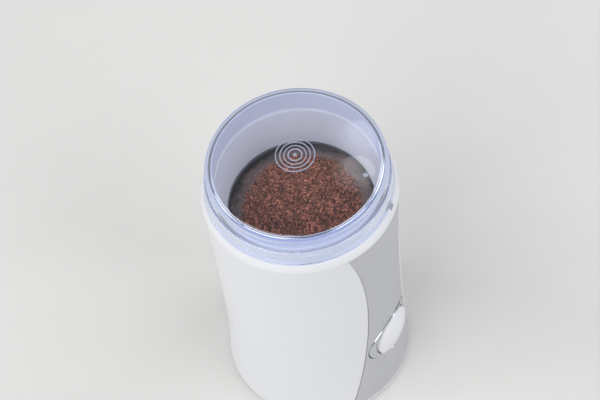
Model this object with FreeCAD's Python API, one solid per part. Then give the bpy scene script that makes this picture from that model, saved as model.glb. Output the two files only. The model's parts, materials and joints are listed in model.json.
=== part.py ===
import FreeCAD, Part

import math
import os

from FreeCAD import Vector as V

# An electric spice grinder, in millimetres. The origin is the centre of the base on the
# table, +Z is up, and the push button faces -Y.

# Body
foot_height = 1.5
base_band = 3.0
shell_bottom = foot_height + base_band
shell_top = 141.5
base_radius = 46.2
waist_draw = 2.2
top_flare = 0.7
waist_height = 62.0
waist_radius = base_radius - waist_draw
top_radius = waist_radius + top_flare
wall = 2.4
body_edge = 1.2
seat_gap = 0.1

# Side panel: an hourglass inlay let into the front of the body
panel_thickness = 1.1
panel_foot_half_width = 28.6
panel_waist_half_width = 14.9
panel_head_half_width = 22.8
panel_waist_height = 88.0
panel_gap = 0.25

# Push button and its bezel
button_height = 44.5
button_radius = 12.6
button_crown = 3.2
button_edge = 0.6
button_skirt = 3.6
button_roof = 2.0
button_travel = 2.2
bezel_half_width = 17.3
bezel_half_height = 13.2
bezel_proud = 0.5
bezel_wall = 1.3
bezel_floor = 0.8
bezel_depth = 5.9
bezel_tube = button_radius + seat_gap + bezel_wall
stem_radius = 3.0
button_spring_radius = 4.6
button_spring_wire = 0.25
button_spring_turns = 3

# Power switch behind the button
switch_length = 20.0
switch_depth = 10.0
switch_width = 6.4
switch_gap = 0.15
switch_corner = 0.6
switch_hole_spacing = 9.5
switch_hole_place = 7.0
switch_screw_radius = 0.85
switch_screw_hole = 0.9
switch_screw_head = 1.8
switch_screw_head_height = 1.2
switch_tab_places = (-7.0, 0.0, 7.0)
switch_tab_width = 3.2
switch_tab_thickness = 0.6
switch_tab_length = 2.2
shelf_thickness = 2.0
shelf_half_width = 21.0
cheek_setback = 2.0
plunger_radius = 1.6
plunger_reach = 0.2
plunger_length = 3.0

# Upper collar, which carries the lid and the cup
collar_lip = 0.6
collar_radius = top_radius + collar_lip
collar_rise = 4.5
collar_shelf = shell_top + collar_rise
collar_shoulder = 1.7
collar_shoulder_radius = collar_radius - collar_shoulder

# Lid
lid_rise = 23.4
lid_seat = 0.2
lid_crown_radius = 185.0
lid_shoulder = 5.0
lid_wall = 2.0
flange_bottom = collar_shelf + lid_seat
flange_height = 9.2
flange_top = flange_bottom + flange_height
flange_inset = 0.4
flange_taper = 0.8
flange_step = 1.4
flange_radius = collar_shoulder_radius - flange_inset
flange_top_radius = flange_radius - flange_taper
groove_radius = flange_radius - flange_step
lid_radius = groove_radius - 0.3
lid_height = flange_bottom + lid_rise
flange_wall = 2.2
flange_edge = 0.7
ring_mark_radii = (9.0, 7.05, 5.2)
ring_mark_width = 0.85
ring_mark_inner = (2.15, 3.4)
ring_mark_dot = 1.0
ring_mark_rise = 0.35

# Neck and skirt of the collar
neck_fit = 0.6
neck_radius = flange_radius - flange_wall - neck_fit
neck_rise = 6.8
neck_top = collar_shelf + neck_rise
neck_wall = 1.4
skirt_drop = 13.7
skirt_bottom = shell_top - skirt_drop
skirt_wall = 1.8
ledge_rise = 0.8
ledge_bottom = collar_shelf + ledge_rise
ledge_slope = 2.0
ledge_gap = 0.1
lug_count = 3
lug_angle = 14.0
lug_rise = 0.35
lug_low = 1.5
lug_height = 3.0

# Cup: the steel sleeve over the grinding bowl
sleeve_fit = 0.4
sleeve_radius = neck_radius - neck_wall - sleeve_fit
sleeve_wall = 0.8
lid_headroom = 7.0
sleeve_top = lid_height - lid_headroom
sleeve_step = collar_shelf + 5.0
sleeve_step_drop = 1.4
sleeve_step_in = 0.6
sleeve_taper = 4.6
sleeve_foot_radius = sleeve_radius - sleeve_taper
rim_bead = 0.4
rim_bead_height = 1.5
rim_bead_edge = 0.35
bowl_step = 0.4
bowl_radius = sleeve_foot_radius - bowl_step
bowl_wall = 0.8
bowl_flange = 2.7
bowl_rim = bowl_radius + bowl_flange
bowl_depth = 19.3
bowl_floor = skirt_bottom - bowl_depth
bowl_corner = 12.0
bowl_dome_height = 2.4
bowl_dome_radius = 13.0
bowl_dome_top_radius = 8.5
gasket_thickness = 0.8
seal_radius = 6.0
seal_flange_radius = 8.2
seal_flange = 1.4
seal_lip = 0.3

# Bowl carrier and the screws that hold it under the collar
carrier_floor = 3.0
carrier_wall = 1.3
carrier_flange = 2.5
carrier_clearance = 0.5
bowl_underside_gap = 1.2
boss_radius = 2.3
boss_gap = 0.3
boss_circle = bowl_rim + boss_gap + boss_radius
boss_height = 9.5
boss_count = 3
carrier_flange_radius = boss_circle + boss_radius
carrier_screw_radius = 1.25
carrier_screw_hole = 1.3
carrier_screw_head_height = 1.8

# Blade and drive
shaft_radius = 2.5
shaft_clearance = 0.03
shaft_hole = 0.02
blade_lift = 6.1
blade_height = bowl_floor + blade_lift
blade_wall_gap = 5.1
blade_span = bowl_radius - blade_wall_gap
blade_width = 11.0
blade_thickness = 1.6
blade_flat = 13.0
blade_bend_up = 15.0
blade_bend_down = 7.0
blade_tip_leading = 1.4
blade_tip_trailing = 3.85
hub_radius = 5.0
hub_height = 2.0
hub_edge = 0.4
washer_radius = 4.6
washer_thickness = 0.8
nut_across = 7.0
nut_height = 3.5
nut_edge = 0.8
shaft_overrun = 0.8

# Base cover, feet and the screws that close the body
base_floor = 2.4
spigot_height = 5.5
spigot_wall = 1.8
spigot_gap = 0.2
spigot_draft = 0.4
base_boss_radius = 3.6
base_boss_gap = 0.9
base_boss_circle = base_radius - wall - spigot_gap - spigot_wall - base_boss_gap - base_boss_radius
base_boss_drop = 3.5
base_boss_top = button_height - bezel_tube - base_boss_drop
base_screw_radius = 1.5
base_screw_head = 2.9
base_screw_head_height = 1.2
base_screw_recess = 1.4
base_screw_spare = 6.1
base_screw_count = 3
foot_ring_spare = 1.5
foot_ring_top = base_boss_top + foot_ring_spare
foot_radius = 6.0
foot_inset = 13.2
foot_circle = base_radius - foot_inset
foot_plug_radius = 2.5
foot_head_radius = 3.2
foot_head = 1.2
foot_edge = 0.5
vent_count = 20
vent_inner = 14.0
vent_gap = 2.0
vent_outer = foot_circle - foot_radius - vent_gap
vent_width = 2.2

# Motor
core_bottom = 46.0
core_side_gap = 0.2
core_half_x = base_boss_circle * math.cos(math.pi / 6) - base_boss_radius - core_side_gap
core_corner = 5.0
bore_radius = 15.9
air_gap = 0.4
yoke_x = 6.9
yoke_y = 6.4
window_inner_x = 15.0
window_inner_y = 9.4
coil_clear = 0.6
coil_inner_x = 16.5
coil_inner_y = 10.0
coil_overhang = 6.5
coil_corner = 5.0
slot_count = 12
slot_width = 2.2
slot_depth = 6.0
slot_clearance = 0.1
winding_height = 7.5
winding_inner = 4.5
winding_outer = 13.6
winding_edge = 2.5
commutator_radius = 9.5
commutator_length = 12.0
commutator_bottom = 24.0
bar_count = 24
bar_gap = 0.5
bar_groove = 1.0
riser_height = 2.0
riser_radius = 10.6
fan_drop = 9.0
fan_radius = 22.5
fan_disc = 1.4
fan_height = 7.0
fan_hub_radius = 6.0
fan_blade_count = 12
fan_blade = 1.2
fan_blade_lean = 25
fan_core_gap = 10.0

# Motor brackets and bearings
bolt_inset = 3.5
bolt_radius = 1.5
bolt_clearance = 0.1
bolt_head = 2.9
bolt_head_height = 2.0
bolt_end_cover = 1.5
leg_radius = 3.0
lower_plate_bottom = 16.0
lower_plate = 4.0
upper_plate = 4.0
bearing_radius = 5.5
bearing_length = 7.0
bearing_edge = 0.8
bearing_fit = 0.02
bearing_seat = 1.0
bearing_cover = 0.7
bearing_hub_radius = 9.0
bearing_hub_drop = 4.0
upper_hub_rise = 1.5
shaft_pass = 0.6
clip_thickness = 0.5
clip_inner = 3.4
clip_rim = 0.6
clip_notch = 1.4
clip_notch_count = 6
pillar_x = (15.0, 24.0)
pillar_half_y = 7.0
pillar_cap = 2.2
mount_height = 4.5
mount_inset_x = 4.0
mount_inset_y = 7.0
mount_radius = 5.0
mount_edge = 0.6
mount_screw_radius = 1.6
mount_screw_head = 2.8
mount_screw_head_height = 1.3

# Carbon brushes
brush_height = 30.0
brush_size = 5.2
brush_end = 20.0
brush_clearance = 0.1
holder_wall = 0.8
holder_start = 10.8
holder_end = 26.0
cap_thickness = 1.5
cap_edge = 0.5
brush_spring_radius = 2.0
brush_spring_wire = 0.35
brush_spring_turns = 6

# Interlock beside the cup, turned a little from the button
interlock_turn = 11.0
interlock_travel = 3.0
interlock_tip_rise = 0.6
slide_inset = 0.3
slide_radius = neck_radius - slide_inset
slide_thickness = 1.2
slide_head_inset = 0.9
slide_head_radius = flange_radius - slide_head_inset
slide_head = 1.0
slide_width = 5.6
slide_drop = 0.1
slide_top = collar_shelf - interlock_travel - slide_drop
slide_foot = 2.0
slide_foot_reach = 7.6
slide_headroom = 3.5
finger_width = 5.0
finger_gap = 0.15
slot_clear = 0.3
interlock_switch_reach = 8.9
interlock_spring_radius = 1.5
interlock_spring_wire = 0.3
interlock_spring_turns = 6
interlock_spring_inset = 0.5
cradle_leg = 1.5
cradle_shelf = 2.0
cradle_gap = 0.2
notch_inset = 1.0
notch_width = 3.4
notch_depth = 2.2

# Lower cushion under the motor
cushion_radius = 8.0
cushion_inner = 4.0
cushion_post_top = 8.0
cushion_edge = 0.6
cushion_post_wall = 1.5

# Cord entry and electrical pieces
cord_height = 14.0
cord_bore = 3.3
gland_radius = 6.0
gland_flange_radius = 7.8
gland_inner_flange = 1.6
gland_inner_gap = 1.0
gland_lip = 1.4
gland_edge = 0.8
gland_room = 0.4
clamp_inset = 14.2
clamp_place = base_radius - clamp_inset
clamp_width = 6.0
clamp_half_length = 10.0
clamp_thickness = 2.4
clamp_screw_place = 7.0
clamp_screw_radius = 1.2
clamp_screw_head = 2.4
clamp_screw_head_height = 1.6
clamp_column_radius = 2.6
terminal_x = (12.0, 30.0)
terminal_half_y = 8.0
terminal_height = 9.0
terminal_hole = 1.5
terminal_count = 3
capacitor_inset = 7.7
capacitor_width = 8.0
capacitor_half_y = 9.0
capacitor_height = 14.0
capacitor_edge = 0.8
cutout_height = 2.8
cutout_half_y = 4.0
cutout_edge = 0.5
coil_arcs = 4
past = 1.0

axis_z = V(0, 0, 1)
origin = V(0, 0, 0)


# Helpers for turned, boxed and repeated shapes
def at(point):
    return V(point[0], 0, point[1])


def lathe(start, *steps):
    """Turn a closed outline about Z. A step is a point, or an arc's mid-point and end."""
    edges = []
    here = start
    for step in steps + (start,):
        if isinstance(step[0], tuple):
            through, end = step
            edges.append(Part.Arc(at(here), at(through), at(end)).toShape())
        else:
            end = step
            if math.dist(here, end) > 1e-6:
                edges.append(Part.makeLine(at(here), at(end)))
        here = end
    return Part.Face(Part.Wire(edges)).revolve(origin, axis_z, 360)


def rounded(corners):
    """Steps for lathe() from corners (r, z, radius), each rounded by its own radius."""
    steps = []
    count = len(corners)
    for i in range(count):
        before = V(*corners[i - 1][:2], 0)
        here = V(*corners[i][:2], 0)
        after = V(*corners[(i + 1) % count][:2], 0)
        radius = corners[i][2]
        if radius == 0:
            steps.append((here.x, here.y))
            continue
        back = (before - here).normalize()
        ahead = (after - here).normalize()
        half = back.getAngle(ahead) / 2
        reach = radius / math.tan(half)
        middle = (back + ahead).normalize() * (radius / math.sin(half) - radius)
        first = here + back * reach
        last = here + ahead * reach
        steps.append((first.x, first.y))
        steps.append((((here + middle).x, (here + middle).y), (last.x, last.y)))
    return steps


def turned(*corners):
    """Solid of revolution about Z from a closed outline of rounded corners."""
    steps = rounded([c if len(c) == 3 else (c[0], c[1], 0) for c in corners])
    if isinstance(steps[0][0], tuple):
        raise ValueError("the first corner is sharp")
    return lathe(*steps)


def ring(inner, outer, low, high):
    shape = rod(outer, low, high)
    return shape.cut(rod(inner, low - 1, high + 1))


def rod(radius, low, high, x=0.0, y=0.0):
    return Part.makeCylinder(radius, high - low, V(x, y, low), axis_z)


def rod_along(radius, start, end):
    way = end - start
    return Part.makeCylinder(radius, way.Length, start, way)


def block(xs, ys, zs):
    return Part.makeBox(xs[1] - xs[0], ys[1] - ys[0], zs[1] - zs[0], V(xs[0], ys[0], zs[0]))


def rounded_block(half_x, half_y, corner, low, high):
    shape = block((-half_x, half_x), (-half_y, half_y), (low, high))
    upright = [e for e in shape.Edges if abs(e.tangentAt(e.FirstParameter).z) > 0.9]
    return shape.makeFillet(corner, upright)


def spun(shape, degrees):
    copy = shape.copy()
    copy.rotate(origin, axis_z, degrees)
    return copy


def spread(shape, count, start=0.0):
    """Copies of a shape, evenly spaced about Z."""
    return [spun(shape, start + 360.0 * i / count) for i in range(count)]


def four_corners(make, x, y):
    return [make(sx * x, sy * y) for sx in (-1, 1) for sy in (-1, 1)]


def fused(shapes):
    whole = shapes[0]
    if len(shapes) > 1:
        whole = whole.fuse(list(shapes[1:]))
    return whole.removeSplitter()


def coil(radius, wire, turns, height):
    """One round-wire spring about Z from z = 0 to z = height, swept along quarter-turn arcs."""
    count = round(turns * coil_arcs)

    def on_coil(step):
        angle = 2 * math.pi * step / coil_arcs
        return V(radius * math.cos(angle), radius * math.sin(angle),
                 wire + (height - 2 * wire) * step / count)

    arcs = [Part.Arc(on_coil(i), on_coil(i + 0.5), on_coil(i + 1)).toShape() for i in range(count)]
    way = arcs[0].tangentAt(arcs[0].FirstParameter)
    section = Part.Wire([Part.makeCircle(wire, on_coil(0), way)])
    return Part.Wire(arcs).makePipeShell([section], True, False)


def export(name, shape):
    solids = shape if isinstance(shape, list) else [shape]
    solids = [s for item in solids for s in item.Solids]
    whole = solids[0] if len(solids) == 1 else Part.makeCompound(solids)
    whole.exportStep("parts/%s.step" % name)
    print("%-26s %d solid(s) %10.1f mm3 valid %s" % (name, len(solids), whole.Volume, whole.isValid()))


# Outline of the body
def sag_radius(chord, rise):
    """Radius of an arc that leaves its tangent by rise over a length of chord."""
    return (chord * chord + rise * rise) / (2 * rise)


def sagged(start, radius, along):
    """Place on an arc that leaves start at a right angle, after a length of along."""
    return start + radius * (1 - math.sqrt(1 - (along / radius) ** 2))


low_sweep = sag_radius(waist_height - shell_bottom, base_radius - waist_radius)
high_sweep = sag_radius(shell_top - waist_height, top_radius - waist_radius)


def body_radius(z):
    sweep = low_sweep if z < waist_height else high_sweep
    return sagged(waist_radius, sweep, z - waist_height)


def body_edge_steps(low, high, inset):
    """Steps up the body's outline, set in by inset, as one arc each side of the waist."""
    stops = [low, waist_height, high] if low < waist_height < high else [low, high]
    steps = []
    for a, b in zip(stops, stops[1:]):
        mid = (a + b) / 2
        steps.append(((body_radius(mid) - inset, mid), (body_radius(b) - inset, b)))
    return steps


def body_core(inset, low, high):
    """Everything inside the body's outline, set in by inset."""
    start = (body_radius(low) - inset, low)
    return lathe(start, *body_edge_steps(low, high, inset), (0, high), (0, low))


def body_band(outer_inset, inner_inset, low, high):
    """Band of the body's wall between two insets from its outer surface."""
    return body_core(outer_inset, low, high).cut(body_core(inner_inset, low, high))


# Outline of the side panel, seen from the front
def panel_half_width(z):
    if z < panel_waist_height:
        sweep = sag_radius(panel_waist_height - shell_bottom, panel_foot_half_width - panel_waist_half_width)
    else:
        sweep = sag_radius(shell_top - panel_waist_height, panel_head_half_width - panel_waist_half_width)
    return sagged(panel_waist_half_width, sweep, z - panel_waist_height)


def panel_prism(grow, low, high):
    """Hourglass prism through the front of the body, grown sideways by grow."""
    def edge(side, a, b):
        mid = (a + b) / 2
        points = [V(side * (panel_half_width(z) + grow), 0, z) for z in (a, mid, b)]
        return Part.Arc(*points).toShape()

    waist = panel_waist_height
    right = [edge(1, low, waist), edge(1, waist, high)]
    left = [edge(-1, high, waist), edge(-1, waist, low)]
    top = Part.makeLine(right[-1].Vertexes[-1].Point, V(-panel_half_width(high) - grow, 0, high))
    bottom = Part.makeLine(V(-panel_half_width(low) - grow, 0, low), V(panel_half_width(low) + grow, 0, low))
    face = Part.Face(Part.Wire([bottom] + right + [top] + left))
    return face.extrude(V(0, -2 * base_radius, 0))


# Front-facing shapes are drawn about Z and then turned to look along -Y
def facing_front(shape):
    copy = shape.copy()
    copy.rotate(origin, V(1, 0, 0), 90)
    copy.translate(V(0, 0, button_height))
    return copy


def oval(half_width, half_height, low, high):
    curve = Part.Ellipse(origin, half_width, half_height).toShape()
    face = Part.Face(Part.Wire([curve]))
    face.translate(V(0, 0, low))
    return face.extrude(V(0, 0, high - low))


front_face = body_radius(button_height)
button_apex = front_face + button_edge + button_crown
bezel_back = front_face - bezel_depth - bezel_floor
switch_face = bezel_back - 2 * bezel_floor
switch_back = switch_face - switch_depth
floor_top = foot_height + base_floor
carrier_top = skirt_bottom
bowl_rim_top = carrier_top + bowl_wall
sleeve_bottom = bowl_rim_top + gasket_thickness
step_low = sleeve_step - sleeve_step_drop
ledge_radius = sleeve_radius - sleeve_step_in + ledge_gap
carrier_base_top = bowl_floor - bowl_wall - bowl_underside_gap
carrier_base = carrier_base_top - carrier_floor
slide_bottom = carrier_base - slide_headroom - interlock_travel
slide_foot_inner = slide_radius - slide_foot_reach
interlock_switch_inner = slide_radius - interlock_switch_reach
interlock_face = slide_bottom - seat_gap - interlock_tip_rise
interlock_shelf = interlock_face - switch_depth - switch_tab_length - cradle_gap - cradle_shelf
upper_plate_top = carrier_base - mount_height
upper_plate_bottom = upper_plate_top - upper_plate
fan_bottom = upper_plate_bottom - fan_drop
core_top = fan_bottom - fan_core_gap
core_half_y = switch_back - switch_tab_length - core_side_gap
window_x = (window_inner_x, core_half_x - yoke_x)
window_y = (window_inner_y, core_half_y - yoke_y)
coil_x = (coil_inner_x, window_x[1] - coil_clear)
coil_y = (coil_inner_y, window_y[1] - coil_clear)
bolt_x = core_half_x - bolt_inset
bolt_y = core_half_y - bolt_inset
mount_x = bolt_x - mount_inset_x
mount_y = bolt_y - mount_inset_y
lower_plate_top = lower_plate_bottom + lower_plate
blade_top = blade_height + blade_thickness
nut_bottom = blade_top + washer_thickness
nut_top = nut_bottom + nut_height


# Housing
def interlock_block(width, radii, zs):
    """Box on the interlock's own direction, given by its distances from the axis."""
    shape = block((-width / 2, width / 2), (-radii[1], -radii[0]), zs)
    return spun(shape, interlock_turn)


def base_places():
    """Places of the base screws: one under the button and two towards the back."""
    return [spun(Part.Vertex(V(0, -base_boss_circle, 0)), 360.0 * i / base_screw_count).Point
            for i in range(base_screw_count)]


def body_shell(low, high):
    """Waisted shell between two heights, with the pocket that the side panel lies in."""
    shell = body_band(0, wall, low, high)
    pocket = body_band(-1, panel_thickness + panel_gap, low, high)
    return shell.cut(pocket.common(panel_prism(panel_gap, shell_bottom, shell_top)))


def housing():
    """The shell from its foot ring up, with the hole for the button's bezel."""
    shell = body_shell(foot_ring_top, shell_top)
    return shell.cut(facing_front(rod(bezel_tube + seat_gap, 0, 2 * base_radius))).removeSplitter()


def housing_foot():
    """Lowest ring of the shell, with the columns for the base screws and the gland's hole."""
    shell = body_shell(shell_bottom, foot_ring_top)
    inner = body_core(wall / 2, shell_bottom, foot_ring_top)
    rib_low = shell_bottom + spigot_height + spigot_gap
    for place in base_places():
        column = rod(base_boss_radius, floor_top + seat_gap, base_boss_top, place.x, place.y)
        rib = block((-wall / 2, wall / 2), (base_boss_circle, base_radius), (rib_low, base_boss_top))
        rib = spun(rib, math.degrees(math.atan2(place.y, place.x)) - 90)
        column = column.fuse(rib.common(inner))
        column = column.cut(rod(base_screw_radius + bolt_clearance, 0, base_boss_top - wall, place.x,
                                place.y))
        shell = shell.fuse(column)
    gland_hole = rod_along(gland_radius + seat_gap, V(0, 0, cord_height), V(0, 2 * base_radius, cord_height))
    return shell.cut(gland_hole).removeSplitter()


def switch_holder():
    """Shelf bonded inside the front wall, with a cheek at each end of the power switch."""
    low = button_height + switch_width / 2
    high = low + shelf_thickness
    back = -switch_face + switch_depth
    shelf = block((-shelf_half_width, shelf_half_width), (-base_radius, back), (low, high))
    room = switch_length / 2 + switch_gap
    cheeks = []
    for side in (-1, 1):
        xs = tuple(sorted(side * x for x in (room, room + shelf_thickness)))
        cheeks.append(block(xs, (-switch_face, back - cheek_setback), (low - switch_width, high)))
    holder = fused([shelf] + cheeks)
    holder = holder.cut(facing_front(rod(bezel_tube + seat_gap, bezel_back - seat_gap, 2 * base_radius)))
    for x in switch_screw_places():
        holder = holder.cut(rod(switch_screw_hole, low - 1, high + 1, x, switch_screw_y()))
    return holder.common(body_core(wall, shell_bottom, shell_top))


def switch_screw_places():
    return (-switch_hole_spacing / 2, switch_hole_spacing / 2)


def switch_screw_y():
    return -switch_face + switch_hole_place


def side_panel():
    low = shell_bottom + panel_gap
    high = shell_top - panel_gap
    plate = body_band(0, panel_thickness, low, high).common(panel_prism(0, low, high))
    hole = facing_front(oval(bezel_half_width + seat_gap, bezel_half_height + seat_gap, 0, 2 * base_radius))
    return plate.cut(hole)


# Button group
def button_bezel():
    low = button_height - 2 * bezel_half_height
    high = button_height + 2 * bezel_half_height
    seat = panel_thickness + seat_gap
    ellipse = facing_front(oval(bezel_half_width, bezel_half_height, 0, 2 * base_radius))
    tube = facing_front(rod(bezel_tube, bezel_back, 2 * base_radius))
    flange = ellipse.common(body_band(-bezel_proud, seat, low, high))
    behind = tube.common(body_core(seat, low, high))
    neck = tube.common(ellipse).common(body_core(0, low, high))
    bezel = fused([flange, neck, behind])
    bezel = bezel.cut(facing_front(rod(button_radius + seat_gap, bezel_back + bezel_floor, 2 * base_radius)))
    return bezel.cut(facing_front(rod(stem_radius + seat_gap, 0, 2 * base_radius)))


def button():
    rim = front_face + button_edge
    crown = sag_radius(button_radius, button_crown)
    mid = button_radius / 2
    mid_height = rim + button_crown - (crown - math.sqrt(crown * crown - mid * mid))
    roof = rim - button_roof
    cap = lathe((0, rim + button_crown), ((mid, mid_height), (button_radius, rim)),
                (button_radius, rim - button_skirt), (button_radius - button_roof, rim - button_skirt),
                (button_radius - button_roof, roof), (0, roof))
    stem = rod(stem_radius, switch_face + plunger_reach + button_travel + seat_gap, roof + 0.5)
    return facing_front(cap.fuse(stem).removeSplitter())


def button_spring():
    low = bezel_back + bezel_floor + seat_gap
    high = front_face + button_edge - button_roof - seat_gap
    spring = coil(button_spring_radius, button_spring_wire, button_spring_turns, high - low)
    spring.translate(V(0, 0, low))
    return facing_front(spring)


def microswitch(travel):
    """Switch body about Z: its plunger side is at z = 0 and its depth goes down."""
    body = block((-switch_length / 2, switch_length / 2), (-switch_width / 2, switch_width / 2),
                 (-switch_depth, 0))
    upright = [e for e in body.Edges if abs(e.tangentAt(e.FirstParameter).z) > 0.9]
    body = body.makeFillet(switch_corner, upright)
    body = body.cut(rod(plunger_radius + seat_gap, -travel - plunger_length, 1))
    tabs = [block((x - switch_tab_width / 2, x + switch_tab_width / 2),
                  (-switch_tab_thickness / 2, switch_tab_thickness / 2),
                  (-switch_depth - switch_tab_length, -switch_depth)) for x in switch_tab_places]
    return fused([body] + tabs)


def power_switch():
    body = microswitch(button_travel)
    body.translate(V(0, 0, switch_face))
    body = facing_front(body)
    for x in switch_screw_places():
        body = body.cut(rod(switch_screw_hole, 0, shell_top, x, switch_screw_y()))
    return body


def power_switch_plunger():
    tip = switch_face + plunger_reach + button_travel
    return facing_front(rod(plunger_radius, tip - plunger_length - button_travel / 2, tip))


def switch_screws():
    under = button_height - switch_width / 2
    screws = []
    for x in switch_screw_places():
        head = rod(switch_screw_head, under - switch_screw_head_height, under, x, switch_screw_y())
        shank = rod(switch_screw_radius, under - switch_screw_head_height / 2,
                    under + switch_width + shelf_thickness,
                    x, switch_screw_y())
        screws.append(head.fuse(shank).removeSplitter())
    return screws


# Lid
def crowned(height, crown_radius, radius, shoulder):
    """Steps from the top of a crowned lid over its shoulder to its wall."""
    centre = height - crown_radius
    reach = radius - shoulder
    turn = centre + math.sqrt((crown_radius - shoulder) ** 2 - reach ** 2)
    lean = math.atan2(reach, turn - centre)
    half = (lean + math.pi / 2) / 2

    def on_crown(angle):
        return (crown_radius * math.sin(angle), centre + crown_radius * math.cos(angle))

    corner = (reach + shoulder * math.sin(half), turn + shoulder * math.cos(half))
    return [(on_crown(lean / 2), on_crown(lean)), (corner, (radius, turn))]


def crown_height(radius):
    return lid_height - lid_crown_radius + math.sqrt(lid_crown_radius ** 2 - radius ** 2)


def lid():
    outer = crowned(lid_height, lid_crown_radius, lid_radius, lid_shoulder)
    inner = crowned(lid_height - lid_wall, lid_crown_radius - lid_wall, lid_radius - lid_wall,
                    lid_shoulder - lid_wall)
    inner_flange = flange_radius - flange_wall
    solid = lathe((0, lid_height), *outer, (lid_radius, flange_top + 1.0), (groove_radius, flange_top),
                  (flange_top_radius - flange_edge / 2, flange_top),
                  (flange_top_radius, flange_top - flange_edge),
                  (flange_radius, flange_bottom + flange_edge),
                  (flange_radius - flange_edge / 2, flange_bottom),
                  (0, flange_bottom))
    hollow = lathe((0, lid_height - lid_wall), *inner, (lid_radius - lid_wall, flange_top - lid_wall / 2),
                   (inner_flange, flange_top - lid_wall), (inner_flange, flange_bottom - 1),
                   (0, flange_bottom - 1))
    shape = solid.cut(hollow)
    for radius in ring_mark_radii:
        inside = radius - ring_mark_width
        shape = shape.fuse(ring(inside, radius, crown_height(inside) - 1,
                                crown_height(inside) + ring_mark_rise))
    low, high = ring_mark_inner
    shape = shape.fuse(ring(low, high, crown_height(low) - 1, crown_height(low) + ring_mark_rise))
    shape = shape.fuse(rod(ring_mark_dot, lid_height - 1, lid_height + ring_mark_rise))
    finger_low = slide_top + finger_gap
    finger = interlock_block(finger_width, (inner_flange, flange_radius - flange_edge),
                             (finger_low, flange_bottom + 1))
    return shape.fuse(finger).removeSplitter()


# Upper collar
def upper_collar():
    inner_neck = neck_radius - neck_wall
    skirt = body_radius(skirt_bottom) - wall - seat_gap
    shoulder = sag_radius(collar_shelf - shell_top, collar_radius - collar_shoulder_radius)
    mid = (shell_top + collar_shelf) / 2
    mid_radius = collar_radius - (shoulder - math.sqrt(shoulder ** 2 - (mid - shell_top) ** 2))
    body = lathe((collar_radius, shell_top), ((mid_radius, mid), (collar_shoulder_radius, collar_shelf)),
                 (neck_radius, collar_shelf), (neck_radius, neck_top), (inner_neck, neck_top),
                 (inner_neck, step_low - ledge_gap), (ledge_radius, step_low - ledge_gap),
                 (ledge_radius, ledge_bottom),
                 (skirt - skirt_wall, ledge_bottom - ledge_slope), (skirt - skirt_wall, skirt_bottom),
                 (skirt, skirt_bottom), (skirt, shell_top))
    for boss in spread(rod(boss_radius, skirt_bottom, skirt_bottom + boss_height, 0, boss_circle),
                       boss_count):
        body = body.fuse(boss)
    for hole in spread(rod(carrier_screw_hole, skirt_bottom - 1, skirt_bottom + boss_height - 1, 0,
                           boss_circle),
                       boss_count):
        body = body.cut(hole)
    lug_bottom = collar_shelf + lug_low
    lug = ring(neck_radius - neck_wall / 2, neck_radius + lug_rise, lug_bottom, lug_bottom + lug_height)
    wedge = Part.makeCylinder(2 * neck_radius, neck_top, origin, axis_z, lug_angle)
    for piece in spread(lug.common(wedge), lug_count, 90):
        body = body.fuse(piece)
    slot = slide_width + 2 * slot_clear
    body = body.cut(interlock_block(slot, (slide_radius - slot_clear, collar_radius),
                                    (skirt_bottom - 1, shell_top)))
    shank_room = (slide_radius - slot_clear, slide_radius + slide_thickness + slot_clear)
    body = body.cut(interlock_block(slot, shank_room, (skirt_bottom - 1, slide_top)))
    head_room = (slide_radius - slot_clear, slide_head_radius + slot_clear)
    body = body.cut(interlock_block(slot, head_room, (slide_top - slide_head - slot_clear, collar_shelf + 1)))
    notch = (flange_radius - past, collar_radius - notch_inset)
    body = body.cut(interlock_block(notch_width, notch, (collar_shelf - notch_depth, collar_shelf + past)))
    return body.removeSplitter()


# Cup
def hopper_sleeve():
    outer = sleeve_radius
    foot_outer = bowl_rim
    return turned((sleeve_foot_radius, sleeve_bottom), (foot_outer, sleeve_bottom),
                  (foot_outer, sleeve_bottom + sleeve_wall),
                  (sleeve_foot_radius + sleeve_wall, sleeve_bottom + sleeve_wall),
                  (outer - sleeve_step_in, step_low), (outer, sleeve_step),
                  (outer, sleeve_top - rim_bead_height), (outer + rim_bead,
                                                          sleeve_top - rim_bead_height + rim_bead),
                  (outer + rim_bead, sleeve_top, rim_bead_edge),
                  (outer - sleeve_wall, sleeve_top, rim_bead_edge),
                  (outer - sleeve_wall, sleeve_step), (outer - sleeve_wall - sleeve_step_in, step_low))


def bowl_outline(inset):
    """Steps down the inside of the bowl, moved out by inset, from its rim to its middle hole."""
    radius = bowl_radius + inset
    floor = bowl_floor - inset
    corner = bowl_corner + inset
    slope = math.radians(45)
    centre = (radius - corner, floor + corner)
    mid = (centre[0] + corner * math.sin(slope), centre[1] - corner * math.cos(slope))
    return [centre, (radius, centre[1]), mid, (centre[0], floor)]


def grinding_bowl():
    inner = bowl_outline(0)
    outer = bowl_outline(bowl_wall)
    dome = bowl_floor + bowl_dome_height
    hole = seal_radius + seat_gap
    return lathe((bowl_rim, carrier_top), (bowl_rim, bowl_rim_top), (bowl_radius, bowl_rim_top), inner[1],
                 (inner[2], inner[3]), (bowl_dome_radius, bowl_floor), (bowl_dome_top_radius, dome),
                 (hole, dome),
                 (hole, dome - bowl_wall), (bowl_dome_top_radius, dome - bowl_wall),
                 (bowl_dome_radius, bowl_floor - bowl_wall), outer[3], (outer[2], outer[1]),
                 (bowl_radius + bowl_wall, carrier_top))


def bowl_gasket():
    return ring(sleeve_foot_radius, bowl_rim, bowl_rim_top, sleeve_bottom)


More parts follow.
